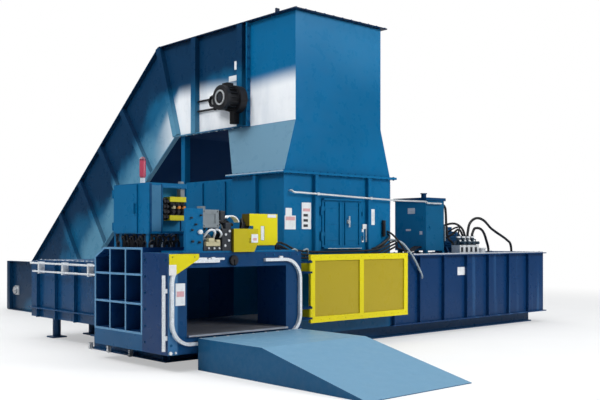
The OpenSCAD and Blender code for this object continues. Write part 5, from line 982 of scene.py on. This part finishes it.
def dressPowerUnit():
    end, unit, front = high("oil_reservoir").x, low("valve_manifold").x, box["front"]
    facePlates("levelGauge", 0.90, [(tankLeft + 0.46, tankLeft + 0.485, 1.45, 1.70)], greyPlastic, thick=0.02,
               bevel=0.004)
    tubes("unitHoses", [
        (0.020, [(end, 1.0, 2.04), (end + 0.03, 0.99, 2.04), (end + 0.05, 0.97, 1.98),
                 (end + 0.05, 0.95, 1.70), (end + 0.06, 0.92, 1.50), (end + 0.12, 0.88, 1.42),
                 (unit + 0.04, 0.85, 1.384)]),
        (0.018, [(end, 1.10, 1.62), (end + 0.08, 1.05, 1.70), (unit + 0.14, 0.90, 1.74),
                 (unit + 0.24, 0.82, 1.66), (unit + 0.26, 0.77, 1.53)]),
        (0.018, [(end + 0.02, 0.95, 1.50), (unit + 0.02, 0.85, 1.56), (unit + 0.10, 0.78, 1.64),
                 (unit + 0.19, 0.765, 1.534)]),
    ], hoseBlack)
    valves = [unit + 0.125 * i for i in range(4)]
    plugs = [(x + 0.03, x + 0.085, unitTop + 0.015, unitTop + 0.095) for x in valves]
    facePlates("manifoldPlugs", 0.68, plugs, darkPlastic, thick=0.006, bevel=0.003)
    # On each valve a cap in front and a coil on top: the two ends as Y and Z, radius and sides
    kinds = (((0.735, 1.45), (0.715, 1.45), 0.022, 16), ((0.765, 1.50), (0.765, 1.53), 0.036, 18))
    rows = [((x + 0.07, *start), (x + 0.07, *end), radius, sides)
            for x in valves for start, end, radius, sides in kinds]
    drums("coilCaps", rows, whitePlastic)
    tubes("palePipe", [(0.017, [
        (3.22, front, 1.47), (3.30, 0.53, 1.47), (3.46, 0.51, 1.43), (3.60, 0.51, 1.33), (3.76, 0.51, 1.17),
        (3.91, 0.52, 0.98), (3.97, 0.54, 0.91), (4.00, front, 0.88)])], hosePale)
    tubes("cornerHoses", [(0.014, points) for points in (
        [(2.86, front, 1.34), (2.92, 0.53, 1.36), (3.08, 0.50, 1.45), (3.18, 0.50, 1.52),
         (3.22, front, 1.56)],
        [(2.98, front, 1.33), (3.04, 0.53, 1.38), (3.16, 0.51, 1.48), (3.24, front, 1.50)],
        [(3.20, front, 1.60), (3.24, 0.51, 1.56), (3.38, 0.50, 1.45), (3.52, 0.50, 1.30),
         (3.62, front, 1.20)],
    )], hoseBlack)
    print("power unit dressed")


dressPowerUnit()


# Stage: pale floor that fades into the backdrop, soft light

def stageMaterial(name, color):
    fade = {"start": 6.5, "end": 15.0, "least": 0.42}
    t = Paint(name)
    paths = t.new("ShaderNodeLightPath").outputs
    speckle = t.noise(1.2, 4.0, 0.5)
    tone = t.mix(t.span(speckle, 0.3, 0.7), tint(color, 0.98), color)
    t.finish(tone, 0.9, Specular_IOR_Level=0.1)
    away = t.new("ShaderNodeVectorMath", {0: t.place}, operation="LENGTH").outputs["Value"]
    share = t.times(paths["Is Camera Ray"], t.span(away, fade["start"], fade["end"], fade["least"], 1.0))
    glow = t.new("ShaderNodeEmission", {"Color": (1.0, 1.0, 1.0, 1.0), "Strength": 1.0})
    blend = t.new("ShaderNodeMixShader",
                  {0: share, 1: t.shader.outputs["BSDF"], 2: glow.outputs["Emission"]})
    t.feed(t.nodes["Material Output"].inputs["Surface"], blend.outputs["Shader"])
    return t.material


def buildStage():
    size = 60.0
    mesh = bpy.data.meshes.new("studioFloor")
    corners = [(-size, -size, 0), (size, -size, 0), (size, size, 0), (-size, size, 0)]
    mesh.from_pydata(corners, [], [(0, 1, 2, 3)])
    mesh.materials.append(stageMaterial("studioFloor", (0.80, 0.80, 0.80)))
    newObject("studioFloor", mesh)

    world = bpy.data.worlds.new("studio")
    scene.world = world
    world.use_nodes = True
    t = Tree(world.node_tree)
    sky = t.nodes["Background"]
    t.feed(sky.inputs["Color"], (0.88, 0.94, 1.0, 1))
    t.feed(sky.inputs["Strength"], 0.36)
    seen = t.new("ShaderNodeBackground", {"Color": (1, 1, 1, 1)})
    upward = t.new("ShaderNodeSeparateXYZ", {"Vector": t.new("ShaderNodeTexCoord").outputs["Generated"]})
    # How bright the room is in reflections, from the horizon up
    levels = ((0.0, 0.14), (0.10, 0.13), (0.35, 0.20), (0.6, 0.5), (1.0, 0.7))
    band = t.new("ShaderNodeValToRGB", {"Fac": upward.outputs["Z"]})
    stops = band.color_ramp.elements
    stops.remove(stops[1])
    for place, level in levels:
        stop = stops[0] if place == 0 else stops.new(place)
        stop.position = place
        stop.color = (level * 0.90, level * 0.97, level, 1)
    mirrored = t.new("ShaderNodeBackground", {"Color": band.outputs["Color"]})
    paths = t.new("ShaderNodeLightPath").outputs
    glossy = t.new("ShaderNodeMixShader", {
        0: paths["Is Glossy Ray"], 1: sky.outputs["Background"], 2: mirrored.outputs["Background"]})
    direct = t.new("ShaderNodeMixShader", {
        0: paths["Is Camera Ray"], 1: glossy.outputs["Shader"], 2: seen.outputs["Background"]})
    t.feed(t.nodes["World Output"].inputs["Surface"], direct.outputs["Shader"])


def softLight(name, place, target, width, height, power):
    lamp = bpy.data.lights.new(name, "AREA")
    lamp.shape = "RECTANGLE"
    lamp.size = width
    lamp.size_y = height
    lamp.energy = power
    holder = newObject(name, lamp)
    holder.location = at(*place)
    holder.rotation_euler = (Vector(target) - Vector(place)).to_track_quat("-Z", "Y").to_euler()
    holder.visible_camera = False


buildStage()
softLight("keyLight", (7.0, -13.0, 9.0), (2.0, 1.0, 1.5), 7.0, 5.0, 1500)
softLight("sideLight", (-7.0, 2.0, 10.5), (1.4, 3.0, 3.0), 6.0, 4.0, 760)
softLight("skyLight", (2.0, 2.0, 14.0), (2.0, 2.0, 0.0), 14.0, 14.0, 1150)
softLight("backLight", (6.0, 17.0, 8.0), (1.4, 4.0, 2.0), 10.0, 4.0, 700)


# Camera: level, at the photograph's angle, fitted to the straight edges in it
view = {"eye": (-6.33, -8.02, 1.5), "heading": (0.672, 0.741), "lens": 51.66, "shiftY": 0.0633}
cameraData = bpy.data.cameras.new("camera")
cameraData.lens = view["lens"]
cameraData.sensor_width = 36.0
cameraData.shift_y = view["shiftY"]
cameraData.clip_end = 200.0
camera = newObject("camera", cameraData)
camera.location = at(*view["eye"])
camera.rotation_euler = (math.radians(90), 0, -math.atan2(*view["heading"]))
scene.camera = camera
scene.view_settings.view_transform = "Standard"
